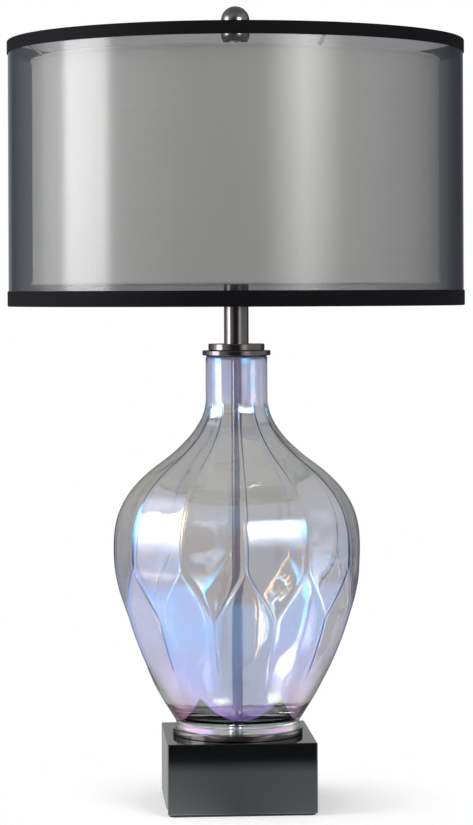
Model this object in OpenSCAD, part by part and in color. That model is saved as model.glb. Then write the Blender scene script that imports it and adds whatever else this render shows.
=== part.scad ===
// Table lamp: square block base, faceted glass body, double drum shade on a harp.
// Millimetres. The origin is the middle of the underside, +Z is up and -Y is the front.

/* [Base block] */
// Width and depth of the square block
block_w = 139.5; // [120:0.5:180]
// Height of the block shell
block_h = 65.4; // [58:0.2:95]
// Thickness of the block's side walls
block_wall = 6; // [4:0.5:9]
// Thickness of the block's top
block_top = 8; // [5:0.5:10]
// Chamfer along the block's outer edges
block_edge = 0.9; // [0.3:0.1:2]
// Width of the posts in the block's corners
post_w = 14; // [12:0.5:18]
// Thickness of the bottom plate
plate_t = 2.4; // [2:0.1:4]
// Thickness of the felt pad
pad_t = 2; // [1:0.1:3]
// Distance from the block's edge to the felt pad's edge
pad_inset = 1.5; // [0.5:0.1:5]
// Cut across the felt pad's corners
pad_corner = 3; // [1:0.5:8]
// Shank diameter of the bottom screws
screw_d = 4; // [3:0.1:5]
// Length of the bottom screws below the head
screw_len = 14; // [8:0.5:20]
// Head diameter of the bottom screws
screw_head_d = 7.6; // [6:0.1:9]
// Head height of the bottom screws
screw_head_h = 1.6; // [1:0.1:1.8]
// Diameter of the ballast weight
ballast_d = 100; // [70:1:104]
// Height of the ballast weight
ballast_h = 18; // [10:0.5:20]
// Bore of the bush that a cord leaves by
cord_bore = 7; // [5:0.1:9]
// Wall of the cord bush
bush_wall = 1.5; // [1:0.1:2.5]
// Height of the cord bush's axis above the bottom plate
bush_rise = 16; // [12:0.5:20]

/* [Stem] */
// Outside diameter of the lamp pipe
pipe_d = 10; // [8:0.1:12]
// Bore of the lamp pipe
pipe_bore = 7; // [5:0.1:7.4]
// Width across the flats of the pipe nut
nut_flats = 16; // [15:0.5:20]
// Height of the pipe nut
nut_h = 5; // [4:0.5:7]
// Diameter of the lock washer
washer_d = 22; // [18:0.5:30]
// Thickness of the lock washer
washer_t = 1.6; // [1:0.1:3]
// Length of pipe that stands out below the nut
pipe_tail = 3; // [1:0.5:5]
// Outside diameter of the seat ring
ring_d = 123.7; // [121.5:0.1:130]
// Height of the seat ring
ring_h = 6; // [5:0.1:10]
// Thickness of the seat ring's floor
ring_floor = 2; // [1.5:0.1:2.5]
// Thickness of each glass gasket
gasket_t = 1; // [0.6:0.1:1.5]
// Width of the gasket below the glass
gasket_w = 7.5; // [4:0.5:12]

/* [Glass body] */
// Radius of the straight foot
foot_r = 58.5; // [54:0.1:59.5]
// Height of the straight foot
foot_h = 9.6; // [6:0.1:16]
// Radius of the belly at its widest
belly_r = 117; // [100:0.5:130]
// Height of the widest point above the foot
belly_h = 171.6; // [165:0.2:190]
// Radius where the shoulder turns into the flare of the neck
shoulder_r = 72.8; // [60:0.2:85]
// Height from the widest point to that turn
shoulder_h = 82; // [70:0.5:95]
// Height of the flare from that turn to the neck
flare_h = 60; // [50:0.5:75]
// Outside radius of the neck
neck_r = 29.4; // [27:0.1:31]
// Length of the straight neck
neck_len = 41; // [30:0.5:55]
// Thickness of the glass wall
glass_wall = 3; // [2:0.1:4]
// Thickness of the glass floor
glass_floor = 15; // [12:0.1:18]
// Width and height of the hollow curve from the floor to the wall
glass_bowl = 14; // [8:0.5:20]
// Number of panels round the glass in each tier
panels = 12; // [8:1:16]
// Height of the zigzag's low points above the foot
valley_h = 113.6; // [105:0.2:125]
// Height of the zigzag's high points above the foot
peak_h = 159.6; // [145:0.2:164]
// Height of round glass between the foot and the first trace of the panels
plain_low = 35; // [25:1:60]
// Height below the straight neck at which the panels start to fade
plain_high = 30; // [15:1:60]

/* [Cap and neck] */
// Diameter of the vase cap's lower disc
cap_d = 65; // [63:0.5:74]
// Height of the vase cap's lower disc
cap_h = 4.8; // [4:0.1:9]
// Diameter of the vase cap's upper disc
cap_step_d = 53.5; // [40:0.5:60]
// Height of the vase cap's upper disc
cap_step_h = 6.3; // [4:0.1:9]
// Depth of the spigot that centres the cap in the neck
spigot_h = 3; // [2:0.1:6]
// Diameter of the neck tube
tube_d = 23.5; // [18:0.1:30]
// Wall of the neck tube
tube_wall = 1.2; // [0.8:0.1:2]
// Height of the neck tube
tube_h = 60.9; // [40:0.1:75]

/* [Harp] */
// Width of the harp between the middles of its feet
harp_foot_w = 60; // [54:0.5:70]
// Width of the harp between the middles of its sides
harp_w = 114; // [104:0.5:130]
// Height from the saddle to the plate that carries the shade
harp_h = 203.3; // [198:0.1:240]
// Diameter of the harp wire
harp_wire_d = 4; // [3:0.1:5]
// Radius of the harp's bends above its feet
harp_bend_r = 30; // [24:0.5:36]
// Angle of the harp's bends above its feet
harp_bend = 35; // [30:1:45]
// Width of the saddle strap
strap_w = 16; // [14:0.5:20]
// Thickness of the saddle strap
strap_t = 2; // [1.5:0.1:3]
// Height of the saddle's pegs above the strap
peg_h = 11; // [9:0.5:13]
// Height of the shoulders that the sleeves stand on
peg_foot_h = 3; // [2:0.1:4]
// Outside diameter of the harp sleeves
sleeve_d = 8; // [7:0.1:10]
// Length of the harp sleeves
sleeve_h = 14; // [13:0.5:16]
// Lift that frees a harp sleeve from its peg
sleeve_lift = 12; // [10:0.5:13]
// Diameter of the plate that carries the shade
rest_d = 20; // [16:0.5:24]
// Thickness of the plate that carries the shade
rest_t = 1.6; // [1:0.1:3]
// Diameter of the stud that holds the finial
stud_d = 6.2; // [5:0.1:7]
// Length of the stud above the plate
stud_len = 16; // [12:0.5:20]

/* [Socket and bulb] */
// Outside diameter of the socket shell
shell_d = 33; // [32.5:0.1:38]
// Height of the socket shell
shell_h = 55; // [50:0.5:60]
// Sheet thickness of the socket shell
shell_t = 0.6; // [0.4:0.05:0.8]
// Wall of the socket cap
socket_cap_t = 1; // [0.8:0.1:2]
// Height of the socket cap's cup
socket_cup_h = 10; // [8:0.5:12]
// Diameter of the socket cap's hub
socket_hub_d = 16; // [15:0.5:20]
// Height of the socket cap's hub
socket_hub_h = 8; // [7:0.5:10]
// Diameter of the socket's set screw
set_screw_d = 3; // [2.5:0.1:4]
// Thickness of the insulating liner
insulator_t = 1; // [0.6:0.1:1.1]
// Height of the socket core
core_h = 23; // [21:0.5:26]
// Height of the switch shaft above the socket cap's floor
switch_rise = 16; // [15:0.5:17]
// Diameter of the switch shaft
switch_d = 4; // [3:0.1:5]
// Diameter of the switch knob
knob_d = 15; // [12:0.5:20]
// Length of the switch knob
knob_len = 9; // [7:0.5:14]
// Diameter of the bulb's screw base
bulb_base_d = 26; // [25:0.1:26.4]
// Height of the bulb's screw base
bulb_base_h = 24; // [20:0.5:26]
// Diameter of the bulb's globe
globe_d = 60; // [50:0.5:68]
// Height of the globe's middle above the bulb's base
globe_rise = 54; // [45:0.5:62]
// Height of the globe's straight neck
globe_neck = 5.4; // [3:0.1:10]
// Wall of the globe
globe_wall = 1; // [0.8:0.1:2]

/* [Shade] */
// Gap from the middle of the liner's wall to the outside of the sheer drum
drum_gap = 23.5; // [8:0.5:40]
// Height of the outer drum over its trims
drum_h = 251; // [235:0.5:280]
// Diameter of the inner liner at the middle of its wall
liner_d = 385; // [340:1:440]
// Height of the inner liner over its rings
liner_h = 213.2; // [200:0.2:230]
// Height of the drum's top edge above the spider
drum_rise = 19.5; // [14:0.5:28]
// Thickness of the sheer fabric
sheer_t = 0.5; // [0.3:0.05:1]
// Thickness of the liner
liner_t = 0.8; // [0.6:0.05:1.4]
// Height of the top trim band
trim_top_h = 12; // [9:0.1:20]
// Height of the bottom trim band
trim_bottom_h = 14.4; // [9:0.1:20]
// Thickness of the trim bands
trim_t = 0.7; // [0.4:0.05:1.2]
// Depth of the trims' folded inner leg
trim_fold = 6; // [4:0.5:8]
// Diameter of the shade's ring wire
ring_wire_d = 3.5; // [2.5:0.1:4.5]
// Number of spider arms
arms = 4; // [3:1:6]
// Turn of the first spider arm from the front
arm_turn = 19; // [0:1:60]
// Diameter of the spider arms
arm_d = 4; // [3:0.1:5]
// Diameter of the spider hub
hub_d = 24; // [20:0.5:30]
// Thickness of the spider hub
hub_t = 2.4; // [1.5:0.1:3.5]

/* [Finial] */
// Diameter of the finial's two balls
ball_d = 27; // [22:0.5:34]
// Height from the middle of the lower ball to that of the upper ball
ball_step = 13.5; // [10:0.5:20]
// Height from the spider hub to the middle of the lower ball
finial_rise = 25.1; // [21:0.1:32]
// Diameter of the finial's collar
collar_d = 14; // [11:0.5:18]

/* [Hidden] */
$fn = 96;

// Clearances: a running fit, a close fit, an easy fit and the gap left at a weld or a seam
run_gap = 0.05;
fit_gap = 0.1;
easy_gap = 0.3;
weld_gap = 0.1;
// How far a cut runs past the face that it opens
over = 1;

// Heights of the base, from the floor up
block_z = pad_t;
plate_top_z = block_z + plate_t;
block_top_z = block_z + block_h;
ceiling_z = block_top_z - block_top;
ballast_z = ceiling_z - ballast_h;
washer_z = ballast_z - washer_t;
nut_z = washer_z - nut_h;
pipe_z = nut_z - pipe_tail;
room_w = block_w - 2 * block_wall;
screw_at = room_w / 2 - post_w / 2;
bush_z = plate_top_z + bush_rise;
bush_d = cord_bore + 2 * bush_wall;
bush_flange_d = bush_d + 2 * bush_wall;
bush_flange_t = bush_wall;

// Heights of the glass body and of what holds it
ring_z = block_top_z;
glass_z = ring_z + ring_floor + gasket_t;
shoulder_top_h = belly_h + shoulder_h;
neck_h = shoulder_top_h + flare_h;
lip_h = neck_h + neck_len;
cap_z = glass_z + lip_h + gasket_t;
spigot_z = cap_z - gasket_t - spigot_h;
step_z = cap_z + cap_h;
tube_z = step_z + cap_step_h;
strap_z = tube_z + tube_h;
saddle_z = strap_z + strap_t;
seat_gap = 0.5;
neck_bore_r = neck_r - glass_wall;
pipe_hole_d = pipe_d + 2 * easy_gap;
glass_hole_gap = 2;
glass_hole_r = pipe_d / 2 + glass_hole_gap;
glass_edge = 1.5;
disc_edge = 0.6;

// Shape of the glass: powers of the lower curve and of the shoulder, with the flare's power set so
// that the two curves meet in one slope
lower_power = 1.85;
shoulder_power = 2.6;
shoulder_slope = (belly_r - shoulder_r) * shoulder_power / shoulder_h;
flare_power = shoulder_slope * flare_h / (shoulder_r - neck_r);
// Heights over which the panels fade into the round foot and the round neck
fade_low = foot_h + plain_low;
fade_high = neck_h - plain_high;
panel_step = 360 / panels;
panel_half = panel_step / 2;
columns = 4 * panels;
bowl_steps = 4;

// Harp, socket and bulb
peg_ledge = 1.5;
peg_foot_d = harp_wire_d + 2 * peg_ledge;
sleeve_z = saddle_z + peg_foot_h + easy_gap;
leg_z = saddle_z + peg_h + easy_gap;
bend_z = sleeve_z + sleeve_h + sleeve_lift + easy_gap;
bend_out = (harp_w - harp_foot_w) / 2;
bend_run = (bend_out - 2 * harp_bend_r * (1 - cos(harp_bend))) / sin(harp_bend);
bend_rise = 2 * harp_bend_r * sin(harp_bend) + bend_run * cos(harp_bend);
side_z = bend_z + bend_rise;
rest_z = saddle_z + harp_h - rest_t;
crown_z = rest_z - harp_wire_d / 2 - harp_w / 2;
stud_z = rest_z + rest_t;
bend_steps = 6;
crown_steps = 12;
wire_sides = 12;
cup_z = saddle_z + socket_hub_h;
cup_floor_z = cup_z + socket_cap_t;
cup_r = shell_d / 2 + fit_gap;
pipe_top_z = cup_z;
insulator_r = shell_d / 2 - shell_t - fit_gap;
core_r = insulator_r - insulator_t - fit_gap;
core_top_z = cup_floor_z + core_h;
switch_z = cup_floor_z + switch_rise;
shaft_bite = 6;
shaft_in = core_r - shaft_bite;
knob_gap = 2;
knob_y = shell_d / 2 + knob_gap;
terminal_d = 6;
terminal_depth = 4;
terminal_out = sqrt(core_r * core_r - terminal_d * terminal_d / 4);
terminal_in = terminal_out - terminal_depth;
wire_well_h = 7.5;
contact_t = 1.5;
contact_d = 8;
bulb_tip_z = core_top_z + contact_t + easy_gap;
bulb_tip_h = 1.5;
bulb_z = bulb_tip_z + bulb_tip_h;
screw_shell_r = bulb_base_d / 2 + easy_gap;
screw_shell_t = 0.5;
screw_shell_h = bulb_tip_h + contact_t + bulb_base_h;
globe_z = bulb_z + bulb_base_h;
// Angle below the globe's middle at which its flare runs into the round part
globe_flare = 60;
globe_steps = 24;

// Shade, from the spider outwards
hub_z = stud_z;
spider_z = hub_z + hub_t / 2;
ring_r = ring_wire_d / 2;
liner_r = liner_d / 2;
inner_bottom_z = spider_z + 2 * ring_r - liner_h;
drum_r = liner_r + drum_gap;
drum_top_z = spider_z + drum_rise;
drum_bottom_z = drum_top_z - drum_h;
sheer_in_r = drum_r - sheer_t;
outer_ring_r = sheer_in_r - ring_r - weld_gap;
outer_top_z = drum_top_z - trim_t - weld_gap - ring_r;
outer_bottom_z = drum_bottom_z + trim_t + weld_gap + ring_r;
trim_in_r = outer_ring_r - ring_r - weld_gap;

// Finial
finial_z = hub_z + hub_t + easy_gap;
lower_ball_z = hub_z + hub_t + finial_rise;
bore_room = 2;
finial_bore_h = stud_len - hub_t + bore_room;

function smooth(t) = t <= 0 ? 0 : t >= 1 ? 1 : t * t * (3 - 2 * t);

// Heights from a to just short of b, in n equal steps
function steps(a, b, n) = [for (i = [0 : n - 1]) a + (b - a) * i / n];

// Radius of the glass at height h, along the edges between its panels
function glass_radius(h) =
    h <= foot_h ? foot_r :
    h <= belly_h ?
        belly_r - (belly_r - foot_r) * pow(1 - (h - foot_h) / (belly_h - foot_h), lower_power) :
    h <= shoulder_top_h ?
        belly_r - (belly_r - shoulder_r) * pow((h - belly_h) / shoulder_h, shoulder_power) :
    h <= neck_h ?
        neck_r + (shoulder_r - neck_r) * pow((neck_h - h) / flare_h, flare_power) :
    neck_r;

// How strongly the panels show at height h, from 0 to 1
function panel_depth(h) =
    smooth((h - fade_low) / (valley_h - fade_low)) * (1 - smooth((h - fade_high) / (neck_h - fade_high)));

// Angle from a direction to the nearest of the panel middles, which are one step apart
function off_panel(a) = abs((a + 360 + panel_half) % panel_step - panel_half);

// Share of the edge radius that flat panels leave at direction a and height h. The upper panels
// meet the lower ones along a zigzag between the low points and the high points.
function panel_share(a, h) =
    let (rise = max(0, min(1, (h - valley_h) / (peak_h - valley_h))))
    let (upper = cos(panel_half * rise) / cos(off_panel(a + panel_half)))
    let (lower = cos(panel_half * (1 - rise)) / cos(off_panel(a)))
    min(upper, lower);

function outside_radius(a, h) = glass_radius(h) * (1 - panel_depth(h) * (1 - panel_share(a, h)));

// The inside is round, one wall in from the deepest point of the panels, and curves into the floor
function inside_radius(h) =
    let (dip = max(0, min(1, (glass_floor + glass_bowl - h) / glass_bowl)))
    glass_radius(h) * (1 - panel_depth(h) * (1 - cos(panel_half))) - glass_wall
        - glass_bowl * (1 - sqrt(1 - dip * dip));

// Points of an arc from angle a to angle b in the rotation plane
function arc(x, y, r, a, b, n) = [
    for (i = [0 : n])
        let (t = a + (b - a) * i / n)
        [x + r * cos(t), y + r * sin(t)]
];

// A round disc with chamfered rims, from z upwards
module disc(d, h, z) {
    r = d / 2;
    translate([0, 0, z])
        rotate_extrude()
            polygon([
                [0, 0], [r - disc_edge, 0], [r, disc_edge],
                [r, h - disc_edge], [r - disc_edge, h], [0, h]
            ]);
}

// A round hole or post of radius r on the axis, between two heights
module column(r, low, high) {
    translate([0, 0, low])
        cylinder(r = r, h = high - low);
}

// A tube on the axis, between two heights
module pipe(r_out, r_in, low, high) {
    difference() {
        column(r_out, low, high);
        column(r_in, low - over, high + over);
    }
}

// A closed ring of round wire about the axis
module wire_ring(r, wire_r, z) {
    translate([0, 0, z])
        rotate_extrude()
            translate([r, 0])
                circle(r = wire_r, $fn = 32);
}

// The four places of the bottom screws
module at_screws() {
    for (x = [-1, 1], y = [-1, 1])
        translate([x * screw_at, y * screw_at, 0])
            children();
}

// The directions of the spider arms, with +X along each arm
module at_arms() {
    for (i = [0 : arms - 1])
        rotate([0, 0, arm_turn - 90 + 360 * i / arms])
            children();
}

// A square outline with its corners cut
module cut_square(w, h, cut) {
    polygon([
        [-w / 2 + cut, 0], [w / 2 - cut, 0], [w / 2, cut], [w / 2, h - cut],
        [w / 2 - cut, h], [-w / 2 + cut, h], [-w / 2, h - cut], [-w / 2, cut]
    ]);
}

module block_solid() {
    intersection() {
        linear_extrude(block_h)
            translate([0, -block_w / 2])
                cut_square(block_w, block_w, block_edge);
        rotate([90, 0, 0])
            linear_extrude(2 * block_w, center = true)
                cut_square(block_w, block_h, block_edge);
        rotate([90, 0, 90])
            linear_extrude(2 * block_w, center = true)
                cut_square(block_w, block_h, block_edge);
    }
}

// Posts that fill the corners of the block's room, above the bottom plate
module corner_posts() {
    for (x = [-1, 1], y = [-1, 1])
        translate([x * room_w / 2 - post_w, y * room_w / 2 - post_w, plate_top_z])
            cube([2 * post_w, 2 * post_w, block_h]);
}

module base_block() {
    color([0.02, 0.02, 0.022])
        difference() {
            translate([0, 0, block_z])
                block_solid();
            difference() {
                translate([-room_w / 2, -room_w / 2, block_z - over])
                    cube([room_w, room_w, ceiling_z - block_z + over]);
                corner_posts();
            }
            at_screws()
                column(screw_d / 2 + fit_gap, plate_top_z - over, plate_top_z + screw_len + over);
            column(pipe_hole_d / 2, ceiling_z - over, block_top_z + over);
            translate([0, block_w / 2 + over, bush_z])
                rotate([90, 0, 0])
                    cylinder(d = bush_d + 2 * fit_gap, h = block_wall + 2 * over);
        }
}

module ballast_weight() {
    color([0.25, 0.25, 0.26])
        difference() {
            disc(ballast_d, ballast_h, ballast_z);
            column(pipe_hole_d / 2, ballast_z - over, ceiling_z + over);
        }
}

module bottom_plate() {
    w = room_w - 2 * easy_gap;
    color([0.55, 0.56, 0.57])
        difference() {
            translate([-w / 2, -w / 2, block_z])
                cube([w, w, plate_t]);
            at_screws()
                column(screw_d / 2 + easy_gap, block_z - over, plate_top_z + over);
            at_screws()
                column(screw_head_d / 2 + fit_gap, block_z - over, block_z + screw_head_h);
        }
}

module bottom_screws() {
    color([0.6, 0.6, 0.62])
        at_screws() {
            column(screw_head_d / 2, block_z, block_z + screw_head_h);
            column(screw_d / 2, block_z, plate_top_z + screw_len);
        }
}

module felt_pad() {
    w = block_w - 2 * pad_inset;
    color([0.06, 0.06, 0.06])
        linear_extrude(pad_t)
            translate([0, -w / 2])
                cut_square(w, w, pad_corner);
}

module cord_bush() {
    wall_out = block_w / 2;
    color([0.05, 0.05, 0.05])
        translate([0, wall_out + bush_flange_t, bush_z])
            rotate([90, 0, 0])
                difference() {
                    union() {
                        cylinder(d = bush_flange_d, h = bush_flange_t);
                        cylinder(d = bush_d, h = block_wall + 2 * bush_flange_t);
                        translate([0, 0, block_wall + bush_flange_t])
                            cylinder(d = bush_flange_d, h = bush_flange_t);
                    }
                    translate([0, 0, -over])
                        cylinder(d = cord_bore, h = block_wall + 2 * bush_flange_t + 2 * over);
                }
}

module lock_washer() {
    color([0.6, 0.6, 0.62])
        pipe(washer_d / 2, pipe_d / 2 + easy_gap, washer_z, ballast_z);
}

module pipe_nut() {
    color([0.75, 0.6, 0.3])
        difference() {
            translate([0, 0, nut_z])
                cylinder(r = nut_flats / sqrt(3), h = nut_h, $fn = 6);
            column(pipe_d / 2 + fit_gap, nut_z - over, washer_z + over);
        }
}

module lamp_pipe() {
    color([0.72, 0.72, 0.74])
        pipe(pipe_d / 2, pipe_bore / 2, pipe_z, pipe_top_z);
}

module seat_ring() {
    color([0.13, 0.12, 0.12])
        difference() {
            disc(ring_d, ring_h, ring_z);
            column(foot_r + seat_gap, ring_z + ring_floor, ring_z + ring_h + over);
            column(pipe_hole_d / 2, ring_z - over, ring_z + ring_h);
        }
}

module lower_gasket() {
    color([0.1, 0.1, 0.1])
        pipe(foot_r - glass_edge, foot_r - glass_edge - gasket_w, ring_z + ring_floor, glass_z);
}

module glass_body() {
    outside = concat(
        [glass_edge],
        steps(foot_h, valley_h, 7),
        steps(valley_h, peak_h, 2),
        steps(peak_h, shoulder_top_h, 9),
        steps(shoulder_top_h, neck_h, 7),
        [neck_h, lip_h]
    );
    inside = concat(
        [lip_h],
        steps(neck_h, shoulder_top_h, 5),
        steps(shoulder_top_h, belly_h, 5),
        steps(belly_h, glass_floor + glass_bowl, 6),
        [for (i = [0 : bowl_steps]) glass_floor + glass_bowl * (1 - sin(90 * i / bowl_steps))]
    );
    turn = 360 / columns;
    loops = concat(
        [[for (j = [0 : columns - 1]) [glass_hole_r, 0]]],
        [[for (j = [0 : columns - 1]) [foot_r - glass_edge, 0]]],
        [for (h = outside) [for (j = [0 : columns - 1]) [outside_radius(j * turn, h), h]]],
        [for (h = inside) [for (j = [0 : columns - 1]) [inside_radius(h), h]]],
        [[for (j = [0 : columns - 1]) [glass_hole_r, glass_floor]]]
    );
    count = len(loops);
    points = [
        for (loop = loops)
            for (j = [0 : columns - 1])
                [loop[j][0] * cos(j * turn), loop[j][0] * sin(j * turn), loop[j][1]]
    ];
    // Each square of the grid is cut along the diagonal that the zigzag follows
    faces = [
        for (i = [0 : count - 1])
            for (j = [0 : columns - 1])
                let (k = (j + 1) % columns)
                let (m = (i + 1) % count)
                let (falls = j % 4 < 2)
                each falls
                    ? [[i * columns + j, m * columns + j, i * columns + k],
                       [i * columns + k, m * columns + j, m * columns + k]]
                    : [[i * columns + j, m * columns + j, m * columns + k],
                       [i * columns + j, m * columns + k, i * columns + k]]
    ];
    color([0.86, 0.86, 0.95, 0.4])
        translate([0, 0, glass_z])
            polyhedron(points, faces);
}

module upper_gasket() {
    color([0.1, 0.1, 0.1])
        pipe(neck_r - disc_edge, neck_bore_r, glass_z + lip_h, cap_z);
}

module vase_cap() {
    boss_r = tube_d / 2 - tube_wall - fit_gap;
    color([0.13, 0.12, 0.12])
        difference() {
            union() {
                disc(cap_d, cap_h, cap_z);
                disc(cap_step_d, cap_step_h, step_z);
                column(neck_bore_r - seat_gap, spigot_z, step_z);
                column(boss_r, step_z, tube_z + spigot_h);
            }
            column(pipe_hole_d / 2, spigot_z - over, tube_z + spigot_h + over);
        }
}

module neck_tube() {
    color([0.13, 0.12, 0.12])
        pipe(tube_d / 2, tube_d / 2 - tube_wall, tube_z, strap_z);
}

module harp_saddle() {
    color([0.2, 0.19, 0.18])
        difference() {
            union() {
                translate([0, 0, strap_z])
                    linear_extrude(strap_t) {
                        translate([-harp_foot_w / 2, -strap_w / 2])
                            square([harp_foot_w, strap_w]);
                        for (x = [-1, 1])
                            translate([x * harp_foot_w / 2, 0])
                                circle(d = strap_w);
                    }
                for (x = [-1, 1])
                    translate([x * harp_foot_w / 2, 0, 0]) {
                        column(peg_foot_d / 2, strap_z, saddle_z + peg_foot_h);
                        column(harp_wire_d / 2, strap_z, saddle_z + peg_h);
                    }
            }
            column(pipe_hole_d / 2, strap_z - over, saddle_z + over);
        }
}

// Right half of the harp's path, from just inside its leg to the middle of its crown. Each point has
// its place across, its height and its lean from the vertical.
function harp_path() =
    let (foot_x = harp_foot_w / 2)
    let (side_x = harp_w / 2)
    concat(
        [[foot_x, bend_z - over, 0]],
        [for (i = [0 : bend_steps])
            let (lean = harp_bend * i / bend_steps)
            [foot_x + harp_bend_r * (1 - cos(lean)), bend_z + harp_bend_r * sin(lean), lean]],
        [for (i = [bend_steps : -1 : 0])
            let (lean = harp_bend * i / bend_steps)
            [side_x - harp_bend_r * (1 - cos(lean)), side_z - harp_bend_r * sin(lean), lean]],
        [for (i = [0 : crown_steps])
            let (lean = -90 * i / crown_steps)
            [side_x * cos(lean), crown_z - side_x * sin(lean), lean]]
    );

// A round wire bent along a path in the plane of the harp
module bent_wire(path, r) {
    points = [
        for (p = path)
            for (k = [0 : wire_sides - 1])
                let (a = 360 * k / wire_sides)
                [p[0] + r * cos(a) * cos(p[2]), r * sin(a), p[1] - r * cos(a) * sin(p[2])]
    ];
    last = (len(path) - 1) * wire_sides;
    sides = [
        for (i = [0 : len(path) - 2])
            for (k = [0 : wire_sides - 1])
                let (n = (k + 1) % wire_sides)
                let (low = i * wire_sides)
                let (high = low + wire_sides)
                each [[low + k, high + k, low + n], [low + n, high + k, high + n]]
    ];
    ends = [
        [for (k = [0 : wire_sides - 1]) k],
        [for (k = [wire_sides - 1 : -1 : 0]) last + k]
    ];
    polyhedron(points, concat(sides, ends));
}

module harp_wire() {
    right = harp_path();
    left = [for (i = [len(right) - 2 : -1 : 0]) [-right[i][0], right[i][1], -180 - right[i][2]]];
    color([0.2, 0.19, 0.18]) {
        bent_wire(concat(right, left), harp_wire_d / 2 - run_gap);
        for (x = [-1, 1])
            translate([x * harp_foot_w / 2, 0, 0])
                column(harp_wire_d / 2, leg_z, bend_z);
    }
}

module harp_sleeve(side) {
    color([0.2, 0.19, 0.18])
        translate([side * harp_foot_w / 2, 0, 0])
            pipe(sleeve_d / 2, harp_wire_d / 2 + run_gap, sleeve_z, sleeve_z + sleeve_h);
}

module harp_sleeve_left() {
    harp_sleeve(-1);
}

module harp_sleeve_right() {
    harp_sleeve(1);
}

module harp_stud() {
    color([0.2, 0.19, 0.18]) {
        column(rest_d / 2, rest_z, stud_z);
        column(stud_d / 2, rest_z, stud_z + stud_len);
    }
}

module socket_cap() {
    out_r = cup_r + socket_cap_t;
    color([0.2, 0.19, 0.18])
        difference() {
            union() {
                column(socket_hub_d / 2, saddle_z, cup_z);
                column(out_r, cup_z, cup_floor_z + socket_cup_h);
            }
            column(cup_r, cup_floor_z, cup_floor_z + socket_cup_h + over);
            column(pipe_d / 2 + fit_gap, saddle_z - over, cup_z);
            column(pipe_bore / 2, saddle_z, cup_floor_z + over);
            translate([0, 0, saddle_z + socket_hub_h / 2])
                rotate([-90, 0, 0])
                    cylinder(d = set_screw_d + 2 * fit_gap, h = socket_hub_d);
        }
}

module socket_set_screw() {
    from = pipe_d / 2 + fit_gap;
    color([0.6, 0.6, 0.62])
        translate([0, from, saddle_z + socket_hub_h / 2])
            rotate([-90, 0, 0])
                cylinder(d = set_screw_d, h = socket_hub_d / 2 - from);
}

// A round hole for the switch shaft, from the socket's axis to the front
module shaft_hole(gap) {
    translate([0, 0, switch_z])
        rotate([90, 0, 0])
            cylinder(d = switch_d + 2 * gap, h = shell_d);
}

module socket_shell() {
    color([0.2, 0.19, 0.18])
        difference() {
            pipe(shell_d / 2, shell_d / 2 - shell_t, cup_floor_z, cup_floor_z + shell_h);
            shaft_hole(easy_gap);
        }
}

module socket_insulator() {
    color([0.75, 0.66, 0.5])
        difference() {
            pipe(insulator_r, insulator_r - insulator_t, cup_floor_z, cup_floor_z + shell_h - 2 * shell_t);
            shaft_hole(easy_gap);
        }
}

// The two pockets in the core's sides, or the screws that fill them
module terminals(d, from, to) {
    for (turn = [0, 180])
        rotate([0, 0, turn])
            translate([from, 0, cup_floor_z + core_h / 2])
                rotate([0, 90, 0])
                    cylinder(d = d, h = to - from);
}

module socket_core() {
    color([0.08, 0.07, 0.07])
        difference() {
            column(core_r, cup_floor_z, core_top_z);
            column(pipe_bore / 2, cup_floor_z - over, cup_floor_z + wire_well_h);
            terminals(terminal_d + 2 * fit_gap, terminal_in - fit_gap, core_r + over);
            translate([0, -shaft_in + fit_gap, switch_z])
                rotate([90, 0, 0])
                    cylinder(d = switch_d + 2 * run_gap, h = shell_d);
        }
}

module terminal_screws() {
    color([0.75, 0.6, 0.3])
        terminals(terminal_d, terminal_in, terminal_out);
}

module screw_shell() {
    color([0.75, 0.6, 0.3])
        pipe(screw_shell_r + screw_shell_t, screw_shell_r, core_top_z, core_top_z + screw_shell_h);
}

module centre_contact() {
    color([0.75, 0.6, 0.3])
        column(contact_d / 2, core_top_z, core_top_z + contact_t);
}

module switch_shaft() {
    color([0.7, 0.56, 0.3])
        translate([0, -shaft_in, switch_z])
            rotate([90, 0, 0])
                cylinder(d = switch_d, h = knob_y + knob_len / 2 - shaft_in);
}

module switch_knob() {
    flutes = 16;
    flute_d = 1.6;
    color([0.05, 0.05, 0.05])
        translate([0, -knob_y, switch_z])
            rotate([90, 0, 0])
                difference() {
                    cylinder(d = knob_d, h = knob_len);
                    translate([0, 0, -over])
                        cylinder(d = switch_d + fit_gap, h = knob_len / 2 + over + fit_gap);
                    for (i = [1 : flutes])
                        rotate([0, 0, 360 * i / flutes])
                            translate([knob_d / 2, 0, flute_d])
                                cylinder(d = flute_d, h = knob_len, $fn = 24);
                }
}

module bulb_base() {
    color([0.75, 0.75, 0.76]) {
        column(contact_d / 2, bulb_tip_z, bulb_z);
        column(bulb_base_d / 2, bulb_z, globe_z);
    }
}

// Outline of the globe at a distance inside its outer face: neck, flare and round top
function globe_outline(inset) =
    let (top_r = globe_d / 2 - inset)
    let (low_r = bulb_base_d / 2 - inset)
    concat([[low_r, 0], [low_r, globe_neck]], arc(0, globe_rise, top_r, -globe_flare, 90, globe_steps));

module bulb_globe() {
    color([0.95, 0.95, 0.92])
        translate([0, 0, globe_z])
            rotate_extrude()
                difference() {
                    polygon(concat([[0, 0]], globe_outline(0)));
                    polygon(concat([[0, -over], [bulb_base_d / 2 - globe_wall, -over]],
                        globe_outline(globe_wall)));
                }
}

module spider_hub() {
    color([0.75, 0.6, 0.3])
        pipe(hub_d / 2, stud_d / 2 + easy_gap, hub_z, hub_z + hub_t);
}

module spider_arms() {
    from = hub_d / 2 + weld_gap;
    to = liner_r - ring_r - weld_gap;
    color([0.75, 0.6, 0.3])
        at_arms()
            translate([from, 0, spider_z])
                rotate([0, 90, 0])
                    cylinder(d = arm_d, h = to - from);
}

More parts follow.
